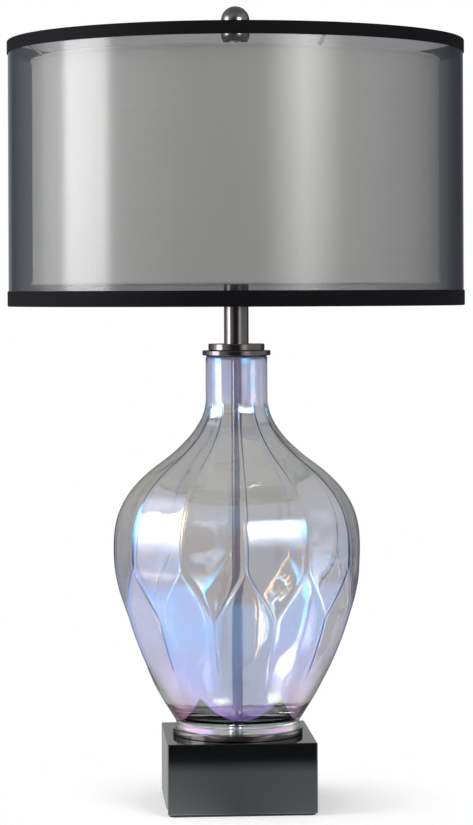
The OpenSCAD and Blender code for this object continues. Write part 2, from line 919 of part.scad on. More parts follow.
module inner_top_ring() {
    color([0.75, 0.6, 0.3])
        wire_ring(liner_r, ring_r, spider_z);
}

module inner_bottom_ring() {
    color([0.75, 0.6, 0.3])
        wire_ring(liner_r, ring_r, inner_bottom_z);
}

module outer_top_ring() {
    color([0.75, 0.6, 0.3])
        wire_ring(outer_ring_r, ring_r, outer_top_z);
}

module outer_bottom_ring() {
    color([0.75, 0.6, 0.3])
        wire_ring(outer_ring_r, ring_r, outer_bottom_z);
}

// Straight rods from the inner top ring to the outer top ring, grown by a gap all round
module link_rods(gap) {
    reach = outer_ring_r - liner_r;
    rise = outer_top_z - spider_z;
    seat = ring_r + weld_gap - gap;
    at_arms()
        translate([liner_r, 0, spider_z])
            rotate([0, atan2(reach, rise), 0])
                translate([0, 0, seat])
                    cylinder(d = ring_wire_d + 2 * gap, h = norm([reach, rise]) - 2 * seat);
}

module ring_links() {
    color([0.75, 0.6, 0.3])
        link_rods(0);
}

module inner_liner() {
    color([0.62, 0.62, 0.62])
        pipe(liner_r + liner_t / 2, liner_r - liner_t / 2, inner_bottom_z + ring_r, spider_z - ring_r);
}

module outer_sheer() {
    color([0.15, 0.18, 0.24, 0.5])
        pipe(drum_r, sheer_in_r, drum_bottom_z + trim_t, drum_top_z - trim_t);
}

// Fabric band of a height, folded over the edge of the sheer and of its ring, with the fold at the top
module trim_band(h) {
    out_r = drum_r + weld_gap;
    rotate_extrude()
        polygon([
            [out_r, -h], [out_r + trim_t, -h], [out_r + trim_t, 0], [trim_in_r - trim_t, 0],
            [trim_in_r - trim_t, -trim_fold], [trim_in_r, -trim_fold], [trim_in_r, -trim_t],
            [out_r, -trim_t]
        ]);
}

// The top trim's inner leg is snipped where the ring links pass
module top_trim() {
    color([0.02, 0.02, 0.022])
        difference() {
            translate([0, 0, drum_top_z])
                trim_band(trim_top_h);
            link_rods(easy_gap);
        }
}

module bottom_trim() {
    color([0.02, 0.02, 0.022])
        translate([0, 0, drum_bottom_z])
            mirror([0, 0, 1])
                trim_band(trim_bottom_h);
}

module finial() {
    color([0.13, 0.12, 0.12])
        difference() {
            union() {
                column(collar_d / 2, finial_z, lower_ball_z);
                translate([0, 0, lower_ball_z])
                    sphere(d = ball_d);
                translate([0, 0, lower_ball_z + ball_step])
                    sphere(d = ball_d);
            }
            column(stud_d / 2 + run_gap, finial_z - over, finial_z + finial_bore_h);
        }
}

base_block();
ballast_weight();
bottom_plate();
bottom_screws();
felt_pad();
cord_bush();
lock_washer();
pipe_nut();
lamp_pipe();
seat_ring();
lower_gasket();
glass_body();
upper_gasket();
vase_cap();
neck_tube();
harp_saddle();
harp_wire();
harp_sleeve_left();
harp_sleeve_right();
harp_stud();
socket_cap();
socket_set_screw();
socket_shell();
socket_insulator();
socket_core();
screw_shell();
centre_contact();
terminal_screws();
switch_shaft();
switch_knob();
bulb_base();
bulb_globe();
spider_hub();
spider_arms();
inner_top_ring();
inner_bottom_ring();
outer_top_ring();
outer_bottom_ring();
ring_links();
inner_liner();
outer_sheer();
top_trim();
bottom_trim();
finial();
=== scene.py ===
"""Looks of a table lamp: a faceted lustre-glass body on a square block, under a double drum shade.

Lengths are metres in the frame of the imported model: +Z is up and -Y is the front.
"""

import logging
import math
from collections.abc import Sequence
from dataclasses import dataclass
from enum import Enum

import bpy
import numpy as np
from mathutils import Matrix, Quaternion, Vector


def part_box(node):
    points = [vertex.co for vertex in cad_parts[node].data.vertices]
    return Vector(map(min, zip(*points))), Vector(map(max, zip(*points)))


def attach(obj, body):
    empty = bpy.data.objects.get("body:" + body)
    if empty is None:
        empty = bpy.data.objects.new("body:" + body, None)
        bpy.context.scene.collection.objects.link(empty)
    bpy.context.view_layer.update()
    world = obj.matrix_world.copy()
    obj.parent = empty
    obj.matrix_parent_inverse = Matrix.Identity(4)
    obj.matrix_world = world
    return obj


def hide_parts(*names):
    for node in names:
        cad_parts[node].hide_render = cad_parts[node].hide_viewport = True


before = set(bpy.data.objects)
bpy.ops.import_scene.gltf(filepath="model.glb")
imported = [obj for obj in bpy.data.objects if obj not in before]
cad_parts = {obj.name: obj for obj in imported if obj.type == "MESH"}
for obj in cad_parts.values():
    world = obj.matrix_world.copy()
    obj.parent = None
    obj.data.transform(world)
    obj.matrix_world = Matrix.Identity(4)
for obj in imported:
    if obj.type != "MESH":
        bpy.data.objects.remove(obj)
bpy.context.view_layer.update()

LOG = logging.getLogger("table_lamp")
MM = 0.001
SHARP_ANGLE = math.radians(40.0)
FULL_TURN = 360.0
Colour = tuple[float, float, float]
Stretch = tuple[float, float, float]
Span = tuple[float, float]


class Body(Enum):
    """The bodies that pieces ride on."""

    LAMP = "lamp"
    SHADE = "shade"


class Slot(Enum):
    """Names of material slots that go with new pieces."""

    FELT = "felt"
    GLASS = "lustre_glass"
    HARP = "black_nickel"
    SATIN = "satin"
    SHEER = "sheer"
    TRIM = "trim"


class Axis(Enum):
    """The parts of a place on a surface that a pattern can follow."""

    X = "X"
    Y = "Y"
    Z = "Z"


class Signal:
    """One output of a shader node, for use in Python expressions on values."""

    def __init__(self, graph: "Graph", socket: bpy.types.NodeSocket) -> None:
        """Keeps the node tree and the output."""
        self.graph = graph
        self.socket = socket

    def other(self, name: str) -> "Signal":
        """Another output of the same node."""
        return Signal(self.graph, self.socket.node.outputs[name])

    def maths(self, operation: str, first: "Input", second: "Input") -> "Signal":
        """A Math node of two values."""
        return self.graph.node("ShaderNodeMath", {"operation": operation}, {0: first, 1: second})

    def __add__(self, value: "Input") -> "Signal":
        """self + value."""
        return self.maths("ADD", self, value)

    def __radd__(self, value: "Input") -> "Signal":
        """value + self."""
        return self.maths("ADD", value, self)

    def __sub__(self, value: "Input") -> "Signal":
        """self - value."""
        return self.maths("SUBTRACT", self, value)

    def __rsub__(self, value: "Input") -> "Signal":
        """value - self."""
        return self.maths("SUBTRACT", value, self)

    def __mul__(self, value: "Input") -> "Signal":
        """self * value."""
        return self.maths("MULTIPLY", self, value)

    def __rmul__(self, value: "Input") -> "Signal":
        """value * self."""
        return self.maths("MULTIPLY", value, self)

    def __truediv__(self, value: "Input") -> "Signal":
        """self / value."""
        return self.maths("DIVIDE", self, value)

    def __rtruediv__(self, value: "Input") -> "Signal":
        """value / self."""
        return self.maths("DIVIDE", value, self)

    def __pow__(self, value: "Input") -> "Signal":
        """self ** value."""
        return self.maths("POWER", self, value)

    def __rpow__(self, value: "Input") -> "Signal":
        """value ** self."""
        return self.maths("POWER", value, self)

    def limited(self) -> "Signal":
        """The value held between 0 and 1."""
        return self.graph.node("ShaderNodeClamp", sockets={"Value": self})

    def ramp(self, start: float, end: float) -> "Signal":
        """A straight line from 0 at the start to 1 at the end, held beyond both."""
        return ((self - start) / (end - start)).limited()

    def size(self) -> "Signal":
        """The value without its sign."""
        return self.maths("ABSOLUTE", self, 0.0)

    def wave(self) -> "Signal":
        """The sine of the value, moved to lie between 0 and 1."""
        return self.maths("SINE", self, 0.0) * 0.5 + 0.5


Input = Signal | float | Sequence[float]


class Graph:
    """The node tree of one material or of the world."""

    # Places of the colour sockets on a Mix node
    MIX_FACTOR, MIX_A, MIX_B, MIX_RESULT = 0, 6, 7, 2

    def __init__(self, tree: bpy.types.NodeTree) -> None:
        """Empties the tree."""
        self.tree = tree
        tree.nodes.clear()

    def node(
        self,
        kind: str,
        settings: dict[str, object] | None = None,
        sockets: dict[str | int, Input] | None = None,
        output: str | int = 0,
    ) -> Signal | None:
        """Adds one node.

        Args:
            kind: The node's type.
            settings: Its own settings, which are set first.
            sockets: The values or links of its inputs.
            output: The output that is wanted.

        Returns:
            That output, or None for a node that has none.
        """
        made = self.tree.nodes.new(kind)
        for key, value in (settings or {}).items():
            setattr(made, key, value)
        for key, value in (sockets or {}).items():
            socket = made.inputs[key]
            if isinstance(value, Signal):
                self.tree.links.new(value.socket, socket)
            elif socket.type == "RGBA" and len(value) == 3:
                socket.default_value = (*value, 1.0)
            else:
                socket.default_value = value
        return Signal(self, made.outputs[output]) if made.outputs else None

    def place(self) -> Signal:
        """The place on the object, in metres."""
        return self.node("ShaderNodeTexCoord", output="Object")

    def parts(self, place: Signal) -> dict[Axis, Signal]:
        """The three parts of a place."""
        across = self.node("ShaderNodeSeparateXYZ", sockets={0: place})
        return {axis: across.other(axis.value) for axis in Axis}

    def round_place(self, radius: float) -> Signal:
        """The place on a drum about the Z axis, unrolled: along the round, then up.

        Args:
            radius: The drum's radius, which turns angles into lengths.

        Returns:
            A vector in metres.
        """
        parts = self.parts(self.place())
        angle = parts[Axis.X].maths("ARCTAN2", parts[Axis.X], 0.0 - parts[Axis.Y])
        return self.node("ShaderNodeCombineXYZ", sockets={0: angle * radius, 1: parts[Axis.Z]})

    def noise(
        self, place: Signal, scale: float, stretch: Sequence[float] = (1.0, 1.0, 1.0), detail: float = 2.0
    ) -> Signal:
        """Soft noise about 0.5.

        Args:
            place: Where it is read.
            scale: How many features there are to a metre.
            stretch: A factor on that for each axis.
            detail: How many finer layers it has.

        Returns:
            The noise's value.
        """
        moved = self.node("ShaderNodeVectorMath", {"operation": "MULTIPLY"}, {0: place, 1: stretch})
        return self.node("ShaderNodeTexNoise", sockets={"Vector": moved, "Scale": scale, "Detail": detail})

    def mix(self, first: Input, second: Input, factor: Input) -> Signal:
        """A colour between two colours."""
        sockets = {self.MIX_FACTOR: factor, self.MIX_A: first, self.MIX_B: second}
        return self.node("ShaderNodeMix", {"data_type": "RGBA"}, sockets, self.MIX_RESULT)

    def bump(self, height: Signal, depth: float) -> Signal:
        """A normal from a height between 0 and 1 that stands for a depth in metres."""
        return self.node("ShaderNodeBump", sockets={"Height": height, "Distance": depth, "Strength": 1.0})

    def principled(self, **sockets: Input) -> Signal:
        """Adds the main surface shader.

        Args:
            sockets: Its inputs, named in lower case with underscores.

        Returns:
            The shader.
        """
        special = {
            "ior": "IOR", "thin_film_ior": "Thin Film IOR", "specular_ior_level": "Specular IOR Level",
        }
        named = {special.get(key, key.replace("_", " ").title()): value for key, value in sockets.items()}
        return self.node("ShaderNodeBsdfPrincipled", sockets=named)

    def blend(self, first: Signal, second: Signal, factor: Input) -> Signal:
        """A shader between two shaders."""
        return self.node("ShaderNodeMixShader", sockets={0: factor, 1: first, 2: second})


@dataclass(frozen=True)
class Finish:
    """A finish, whose material is made once and shared."""

    name: str

    def shade(self, graph: Graph) -> Signal:
        """The finish's shader, which each kind of finish makes."""
        raise NotImplementedError

    def material(self) -> bpy.types.Material:
        """Makes the finish's material, or finds the one that is already made.

        Returns:
            The material.
        """
        key = f"finish_{self.name}"
        made = bpy.data.materials.get(key)
        if made is None:
            made = bpy.data.materials.new(key)
            made.use_nodes = True
            graph = Graph(made.node_tree)
            graph.node("ShaderNodeOutputMaterial", sockets={"Surface": self.shade(graph)})
        return made

    def dress(self, piece: bpy.types.Object) -> None:
        """Gives a piece this finish alone."""
        piece.data.materials.clear()
        piece.data.materials.append(self.material())


@dataclass(frozen=True)
class Plated(Finish):
    """Polished or drawn metal with a faint cloud of tarnish and fine polishing marks."""

    colour: Colour
    tarnish: Colour
    roughness: float = 0.18
    spread: float = 0.08
    clouds: float = 60.0
    marks: float = 1500.0
    drawn: Stretch = (1.0, 1.0, 0.15)
    relief: float = 0.000003

    def shade(self, graph: Graph) -> Signal:
        """Metal whose colour and gloss drift, with marks too fine to see apart.

        Args:
            graph: The material's node tree.

        Returns:
            The shader.
        """
        place = graph.place()
        cloud = graph.noise(place, self.clouds, detail=4.0)
        marks = graph.noise(place, self.marks, self.drawn)
        return graph.principled(
            base_color=graph.mix(self.colour, self.tarnish, cloud),
            metallic=1.0,
            roughness=marks * self.spread + cloud * self.spread + (self.roughness - self.spread),
            normal=graph.bump(marks, self.relief),
        )


@dataclass(frozen=True)
class Lacquer(Finish):
    """Deep gloss lacquer with a slight orange peel and wiped smudges."""

    colour: Colour
    dust: Colour
    roughness: float = 0.04
    index: float = 1.52
    gloss_tint: Colour = (0.9, 1.0, 1.03)
    coat: float = 0.3
    smudges: float = 28.0
    wiped: Stretch = (1.0, 1.0, 2.4)
    smear: float = 0.05
    specks: float = 900.0
    speck_level: float = 0.62
    peel: float = 260.0
    peel_depth: float = 0.000004

    def shade(self, graph: Graph) -> Signal:
        """Gloss whose smudges show as softer patches.

        Args:
            graph: The material's node tree.

        Returns:
            The shader.
        """
        place = graph.place()
        smudge = graph.noise(place, self.smudges, self.wiped, 5.0)
        specks = (graph.noise(place, self.specks) - self.speck_level).limited() * 2.0
        peel = graph.noise(place, self.peel)
        return graph.principled(
            base_color=graph.mix(self.colour, self.dust, specks + smudge * 0.12),
            roughness=smudge * self.smear + self.roughness,
            ior=self.index,
            specular_tint=self.gloss_tint,
            coat_weight=self.coat,
            coat_roughness=0.03,
            normal=graph.bump(peel, self.peel_depth),
        )


@dataclass(frozen=True)
class Moulded(Finish):
    """Matt or satin plastic, rubber, card, paint or cast metal with a grained face."""

    colour: Colour
    fleck: Colour
    roughness: float = 0.5
    grain: float = 700.0
    relief: float = 0.00003
    metallic: float = 0.0
    drifts: float = 40.0
    spread: float = 0.2

    def shade(self, graph: Graph) -> Signal:
        """A grained face with a drift of colour.

        Args:
            graph: The material's node tree.

        Returns:
            The shader.
        """
        place = graph.place()
        grain = graph.noise(place, self.grain, detail=3.0)
        drift = graph.noise(place, self.drifts)
        return graph.principled(
            base_color=graph.mix(self.colour, self.fleck, grain * 0.6 + drift * 0.4),
            metallic=self.metallic,
            roughness=grain * self.spread + (self.roughness - 0.5 * self.spread),
            normal=graph.bump(grain, self.relief),
        )


@dataclass(frozen=True)
class Felt(Finish):
    """Pressed wool felt."""

    colour: Colour
    fibre: Colour
    fibres: float = 1800.0
    length: float = 0.12
    relief: float = 0.0002

    def shade(self, graph: Graph) -> Signal:
        """Matt cloth of short crossing fibres.

        Args:
            graph: The material's node tree.

        Returns:
            The shader.
        """
        place = graph.place()
        along = graph.noise(place, self.fibres, (1.0, self.length, 1.0), 3.0)
        across = graph.noise(place, self.fibres, (self.length, 1.0, 1.0), 3.0)
        fibres = (along + across) * 0.5
        return graph.principled(
            base_color=graph.mix(self.colour, self.fibre, fibres),
            roughness=0.95,
            sheen_weight=0.3,
            sheen_roughness=0.5,
            normal=graph.bump(fibres, self.relief),
        )


@dataclass(frozen=True)
class Opal(Finish):
    """White opal glass of a bulb."""

    colour: Colour
    shadow: Colour
    roughness: float = 0.12
    spread: float = 0.06
    coat: float = 0.4
    drifts: float = 45.0
    ripples: float = 120.0
    relief: float = 0.00002

    def shade(self, graph: Graph) -> Signal:
        """A milky gloss with a slow drift.

        Args:
            graph: The material's node tree.

        Returns:
            The shader.
        """
        place = graph.place()
        drift = graph.noise(place, self.drifts)
        return graph.principled(
            base_color=graph.mix(self.colour, self.shadow, drift),
            roughness=drift * self.spread + self.roughness,
            coat_weight=self.coat,
            normal=graph.bump(graph.noise(place, self.ripples), self.relief),
        )


@dataclass(frozen=True)
class LustreGlass(Finish):
    """Clear glass under a pearly film, whose thickness drifts from violet to blue, and to rose at the foot.

    Films are in nanometres. A span gives the drift, or the share of the way down from the neck's top to the
    foot, at which something is nothing, and then the one at which it is whole.
    """

    tint: Colour
    pearl: Colour
    sky: Colour
    pale: Colour
    index: float = 1.5
    film_index: float = 2.1
    violet_film: float = 144.0
    blue_film: float = 160.0
    rose_film: float = 262.0
    foot: float = 0.07
    top: float = 0.425
    wavers: float = 30.0
    waver_stretch: Stretch = (1.0, 1.0, 0.6)
    waver_depth: float = 0.0004
    drifts: float = 13.0
    drift_stretch: Stretch = (1.0, 1.0, 1.6)
    blue_drift: Span = (0.317, 0.65)
    blue_end: Span = (0.93, 0.68)
    rose_drift: float = 1.2
    rose_foot: float = 0.8
    rose_rise: float = 14.0
    neck_end: Span = (0.16, 0.077)
    shoulder_start: Span = (0.16, 0.243)
    shoulder_end: Span = (0.55, 0.383)
    body_start: Span = (0.192, 0.962)
    body_end: Span = (0.9, 0.775)
    patch_level: float = 0.47
    patch_contrast: float = 6.0
    # How much more pearl the left side gets: painted light on the side where the left light falls
    painted_left_light: float = 4.0
    patch_least: float = 0.25
    pearl_roughness: float = 0.5
    pearl_share: float = 0.065
    neck_share: float = 0.09
    shoulder_share: float = 0.02

    def coated(self, graph: Graph, film: float, waver: Signal) -> Signal:
        """Adds glass under a film of one thickness.

        Args:
            graph: The material's node tree.
            film: The thickness.
            waver: The normal of the uneven surface.

        Returns:
            The shader.
        """
        return graph.principled(
            base_color=self.tint,
            roughness=0.0,
            ior=self.index,
            transmission_weight=1.0,
            thin_film_thickness=film,
            thin_film_ior=self.film_index,
            normal=waver,
        )

    def shade(self, graph: Graph) -> Signal:
        """Three films in drifting patches with a little pearl; light passes to what lies behind.

        Args:
            graph: The material's node tree.

        Returns:
            The shader.
        """
        place = graph.place()
        parts = graph.parts(place)
        waver = graph.bump(graph.noise(place, self.wavers, self.waver_stretch, 3.0), self.waver_depth)
        drift = graph.noise(place, self.drifts, self.drift_stretch, 3.0)
        down = parts[Axis.Z].ramp(self.top, self.foot)
        violet, blue, rose = (
            self.coated(graph, film, waver) for film in (self.violet_film, self.blue_film, self.rose_film)
        )
        cool = drift.ramp(*self.blue_drift) * down.ramp(*self.blue_end)
        warm = ((drift - 0.5) * self.rose_drift + down ** self.rose_rise * self.rose_foot).limited()
        film = graph.blend(graph.blend(violet, blue, cool), rose, warm)
        neck = down.ramp(*self.neck_end)
        shoulder = down.ramp(*self.shoulder_start) * down.ramp(*self.shoulder_end)
        body = down.ramp(*self.body_start) * down.ramp(*self.body_end)
        # The pearl drifts in random patches, and is also made stronger towards the left (-X): painted light
        # where the left light falls
        patch_and_left_glow = (drift - self.patch_level) * self.patch_contrast - parts[Axis.X] * self.painted_left_light
        body = body * (patch_and_left_glow.limited() * (1.0 - self.patch_least) + self.patch_least)
        share = body * self.pearl_share + neck * self.neck_share + shoulder * self.shoulder_share
        hue = graph.mix(graph.mix(self.pearl, self.sky, cool), self.pale, shoulder)
        pearl = graph.principled(base_color=hue, roughness=self.pearl_roughness, normal=waver)
        milky = graph.blend(film, pearl, share)
        shadow = graph.node("ShaderNodeLightPath", output="Is Shadow Ray")
        clear = graph.node("ShaderNodeBsdfTransparent", sockets={"Color": self.tint})
        return graph.blend(milky, clear, shadow)


@dataclass(frozen=True)
class Organza(Finish):
    """Sheer cloth of dark shiny thread, which closes up where it is seen at a slant."""

    thread: Colour
    glint: Colour
    clear: float
    radius: float
    pitch: float = 0.0004
    lustre: float = 2.0
    roughness: float = 0.28
    streak: float = 0.89
    edge_on: float = 0.04
    slubs: float = 90.0
    thin: float = 12.0
    long: float = 0.05
    weave_share: float = 0.12
    slub_share: float = 0.07
    spread: float = 0.02

    def shade(self, graph: Graph) -> Signal:
        """Threads that cover a share of the view and draw each light out into an upright band.

        Args:
            graph: The material's node tree.

        Returns:
            The shader.
        """
        place = graph.round_place(self.radius)
        parts = graph.parts(place)
        turn = 2.0 * math.pi / self.pitch
        weave = (parts[Axis.X] * turn).wave() + (parts[Axis.Y] * turn).wave()
        level = graph.noise(place, self.slubs, (self.long, self.thin, 1.0), 3.0)
        upright = graph.noise(place, self.slubs, (self.thin, self.long, 1.0), 3.0)
        slub = level + upright
        facing = graph.node("ShaderNodeLayerWeight", sockets={"Blend": 0.5}, output="Facing")
        slant = 1.0 + self.edge_on - facing
        cover = 1.0 - self.clear ** (1.0 / slant)
        least = 1.0 - self.weave_share - self.slub_share
        uneven = weave * self.weave_share + slub * self.slub_share + least
        return graph.principled(
            base_color=graph.mix(self.thread, self.glint, weave * 0.5),
            roughness=level * self.spread + (self.roughness - 0.5 * self.spread),
            ior=self.lustre,
            anisotropic=self.streak,
            anisotropic_rotation=0.25,
            alpha=(cover * uneven).limited(),
        )


@dataclass(frozen=True)
class Satin(Finish):
    """Pale satin stretched on a drum, with slubs along its threads."""

    colour: Colour
    shadow: Colour
    radius: float
    roughness: float = 0.6
    spread: float = 0.1
    weave: float = 60.0
    slub_stretch: Stretch = (0.12, 9.0, 1.0)
    thread_stretch: Stretch = (0.6, 45.0, 1.0)
    drifts: float = 25.0
    drift_stretch: Stretch = (1.0, 0.4, 1.0)
    contrast: float = 1.8
    relief: float = 0.00003

    def shade(self, graph: Graph) -> Signal:
        """Soft cloth with a faint sheen.

        Args:
            graph: The material's node tree.

        Returns:
            The shader.
        """
        place = graph.round_place(self.radius)
        slub = graph.noise(place, self.weave, self.slub_stretch, 4.0)
        threads = graph.noise(place, self.weave, self.thread_stretch, 2.0)
        drift = graph.noise(place, self.drifts, self.drift_stretch, 3.0)
        tone = slub * 0.4 + threads * 0.3 + drift * 0.3
        return graph.principled(
            base_color=graph.mix(self.shadow, self.colour, (tone - 0.5) * self.contrast + 0.5),
            roughness=threads * self.spread + (self.roughness - 0.5 * self.spread),
            specular_ior_level=0.25,
            sheen_weight=0.1,
            sheen_roughness=0.5,
            normal=graph.bump(tone, self.relief),
        )


@dataclass(frozen=True)
class Ribbon(Finish):
    """Black ribbon with fine upright ribs."""

    colour: Colour
    crest: Colour
    radius: float
    pitch: float = 0.0009
    fuzz: float = 1400.0
    roughness: float = 0.5
    spread: float = 0.2
    relief: float = 0.00012

    def shade(self, graph: Graph) -> Signal:
        """Ribs that catch a little light along their crests.

        Args:
            graph: The material's node tree.

        Returns:
            The shader.
        """
        place = graph.round_place(self.radius)
        ribs = (graph.parts(place)[Axis.X] * (2.0 * math.pi / self.pitch)).wave()
        fuzz = graph.noise(place, self.fuzz, detail=3.0)
        return graph.principled(
            base_color=graph.mix(self.colour, self.crest, ribs * 0.6 + fuzz * 0.4),
            roughness=fuzz * self.spread + self.roughness,
            specular_ior_level=0.05,
            sheen_weight=0.02,
            sheen_roughness=0.4,
            normal=graph.bump(ribs * 0.7 + fuzz * 0.3, self.relief),
        )


DRUM_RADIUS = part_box("outer_sheer")[1].x
LINER_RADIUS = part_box("inner_liner")[1].x

BLOCK_GLOSS = Lacquer("block_gloss", (0.003, 0.003, 0.0035), (0.014, 0.014, 0.015))
BLACK_NICKEL = Plated("black_nickel", (0.20, 0.185, 0.18), (0.13, 0.12, 0.125), roughness=0.14)
BALL_NICKEL = Plated("ball_nickel", (0.28, 0.27, 0.27), (0.16, 0.155, 0.16), roughness=0.2, clouds=900.0)
BRIGHT_NICKEL = Plated("bright_nickel", (0.23, 0.26, 0.36), (0.17, 0.19, 0.27), roughness=0.16)
BRASS = Plated("brass", (0.72, 0.5, 0.2), (0.5, 0.34, 0.14), roughness=0.25)
BRASS_WIRE = Plated("brass_wire", (0.42, 0.39, 0.29), (0.3, 0.28, 0.2), roughness=0.28)
SHEET_STEEL = Plated("sheet_steel", (0.5, 0.5, 0.51), (0.36, 0.36, 0.37), roughness=0.35, clouds=25.0)
CAP_METAL = Plated("cap_metal", (0.72, 0.72, 0.72), (0.55, 0.55, 0.56), roughness=0.28)
CAST_WEIGHT = Moulded(
    "cast_weight", (0.09, 0.09, 0.095), (0.16, 0.155, 0.15),
    roughness=0.7, grain=500.0, relief=0.0002, metallic=0.7,
)
RUBBER = Moulded("rubber", (0.012, 0.012, 0.013), (0.03, 0.03, 0.03), roughness=0.7)
MOULDED_BLACK = Moulded("moulded_black", (0.012, 0.011, 0.011), (0.03, 0.028, 0.027), roughness=0.4)
CARD = Moulded("card", (0.42, 0.33, 0.21), (0.5, 0.41, 0.28), roughness=0.85, grain=420.0)
STYRENE = Moulded(
    "styrene", (0.74, 0.73, 0.7), (0.8, 0.79, 0.77), roughness=0.45, grain=300.0, relief=0.00001,
)
FELT = Felt("felt", (0.012, 0.012, 0.012), (0.04, 0.04, 0.04))
OPAL = Opal("opal", (0.86, 0.86, 0.83), (0.8, 0.8, 0.77))
LUSTRE = LustreGlass(
    "lustre_glass", tint=(0.96, 0.96, 0.97), pearl=(0.45, 0.34, 1.0), sky=(0.26, 0.4, 1.0),
    pale=(0.9, 0.9, 0.88),
)
SHEER = Organza("sheer", (0.017, 0.023, 0.034), (0.034, 0.042, 0.056), clear=0.555, radius=DRUM_RADIUS)
SATIN = Satin("satin", (0.92, 0.905, 0.87), (0.84, 0.825, 0.79), LINER_RADIUS)
TRIM = Ribbon("trim", (0.0025, 0.0025, 0.003), (0.006, 0.006, 0.008), DRUM_RADIUS)


def ring_angles(columns: int) -> np.ndarray:
    """Directions round the axis, in radians, one for each column."""
    return np.arange(columns) * (2.0 * math.pi / columns)


def grid_piece(
    name: str, points: np.ndarray, loop: bool = False, caps: bool = False, cuts: np.ndarray | None = None
) -> bpy.types.Object:
    """Makes a piece from rows of points that each close round on themselves.

    Args:
        name: The piece's name.
        points: Places of shape (rows, columns, 3), anticlockwise along a row as seen from above.
        loop: Whether the last row joins the first one.
        caps: Whether the first and the last row are filled.
        cuts: 1 for each square that is cut along its falling diagonal, -1 along its rising one, 0 for none.

    Returns:
        The piece, shaded smooth but for its sharp edges.
    """
    rows, columns = points.shape[:2]
    faces = []
    for i in range(rows if loop else rows - 1):
        low, high = i * columns, (i + 1) % rows * columns
        for j in range(columns):
            k = (j + 1) % columns
            a, b, c, d = low + j, low + k, high + k, high + j
            cut = 0 if cuts is None else cuts[i, j]
            if cut > 0:
                faces += [(a, b, d), (b, c, d)]
            elif cut < 0:
                faces += [(a, b, c), (a, c, d)]
            else:
                faces.append((a, b, c, d))
    if caps:
        faces.append(tuple(range(columns - 1, -1, -1)))
        faces.append(tuple(range((rows - 1) * columns, rows * columns)))
    mesh = bpy.data.meshes.new(name)
    mesh.from_pydata(points.reshape(-1, 3).tolist(), [], faces)
    mesh.polygons.foreach_set("use_smooth", [True] * len(faces))
    mesh.set_sharp_from_angle(angle=SHARP_ANGLE)
    piece = bpy.data.objects.new(name, mesh)
    bpy.context.scene.collection.objects.link(piece)
    return piece


def turned(profile: Sequence[tuple[float, float]], columns: int) -> np.ndarray:
    """Rows of points that a profile of radius and height sweeps round the axis.

    Args:
        profile: Radius and height of each row.
        columns: How many points there are round the axis.

    Returns:
        Places of shape (rows, columns, 3).
    """
    angles = ring_angles(columns)
    return np.array([
        np.column_stack([radius * np.cos(angles), radius * np.sin(angles), np.full(columns, height)])
        for radius, height in profile
    ])


def eased(corners: Sequence[tuple[float, float, float]], steps: int = 5) -> list[tuple[float, float]]:
    """A closed outline with its corners rounded.

    Args:
        corners: Place of each corner and the length that its rounding takes off both sides.
        steps: How many points make a rounding.

    Returns:
        The outline's points.
    """
    outline = []
    for before, (x, y, cut), after in zip(corners[-1:] + corners[:-1], corners, corners[1:] + corners[:1]):
        corner = Vector((x, y))
        start = corner + (Vector(before[:2]) - corner).normalized() * cut
        end = corner + (Vector(after[:2]) - corner).normalized() * cut
        for step in range(steps + 1):
            t = step / steps
            point = start * (1 - t) ** 2 + corner * 2 * t * (1 - t) + end * t ** 2
            outline.append((point.x, point.y))
    return outline


def settle(piece: bpy.types.Object, body: Body, finish: Finish, slot: Slot, *nodes: str) -> None:
    """Dresses a new piece, sets it on its body and lets it stand for CAD nodes.

    Args:
        piece: The piece.
        body: What it rides on.
        finish: Its finish.
        slot: Not used.
        nodes: The CAD nodes that it stands for.
    """
    finish.dress(piece)
    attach(piece, body.value)
    if nodes:
        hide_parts(*nodes)
    LOG.info("%s rides on %s", piece.name, body.value)


def dress_nodes(finish: Finish, *nodes: str) -> None:
    """Gives CAD nodes a finish.

    Args:
        finish: The finish.
        nodes: The nodes' names.
    """
    for name in nodes:
        finish.dress(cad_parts[name])
        LOG.info("%s is dressed in %s", name, finish.name)


@dataclass
class Base:
    """The block, what it holds and the felt under it."""

    felt_edge: float = 0.5 * MM
    felt_corner: float = 3.0 * MM
    felt_middle: float = 0.5
    columns: int = 160

    def felt_outline(self, half: float) -> np.ndarray:
        """A square of rounded corners, as points anticlockwise round the axis.

        Args:
            half: Half the square's width.

        Returns:
            Places of shape (columns, 2).
        """
        angles = ring_angles(self.columns) + math.pi / self.columns
        power = 2.0 * half / self.felt_corner
        reach = (np.abs(np.cos(angles)) ** power + np.abs(np.sin(angles)) ** power) ** (-1.0 / power)
        return half * np.column_stack([reach * np.cos(angles), reach * np.sin(angles)])

    def felt(self) -> None:
        """The pad of felt, with soft edges."""
        low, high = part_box("felt_pad")
        outline = self.felt_outline(high.x)
        inner = 1.0 - self.felt_edge / high.x
        levels = [
            (self.felt_middle, low.z), (inner, low.z), (1.0, low.z + self.felt_edge),
            (1.0, high.z - self.felt_edge), (inner, high.z), (self.felt_middle, high.z),
        ]
        rows = [np.column_stack([outline * share, np.full(self.columns, z)]) for share, z in levels]
        piece = grid_piece("felt_underside", np.array(rows), caps=True)
        settle(piece, Body.LAMP, FELT, Slot.FELT, "felt_pad")

    def build(self) -> None:
        """Makes the felt and dresses the rest."""
        self.felt()
        dress_nodes(BLOCK_GLOSS, "base_block")
        dress_nodes(CAST_WEIGHT, "ballast_weight")
        dress_nodes(SHEET_STEEL, "bottom_plate", "bottom_screws", "lock_washer")
        dress_nodes(RUBBER, "cord_bush")
        dress_nodes(BRASS, "pipe_nut")


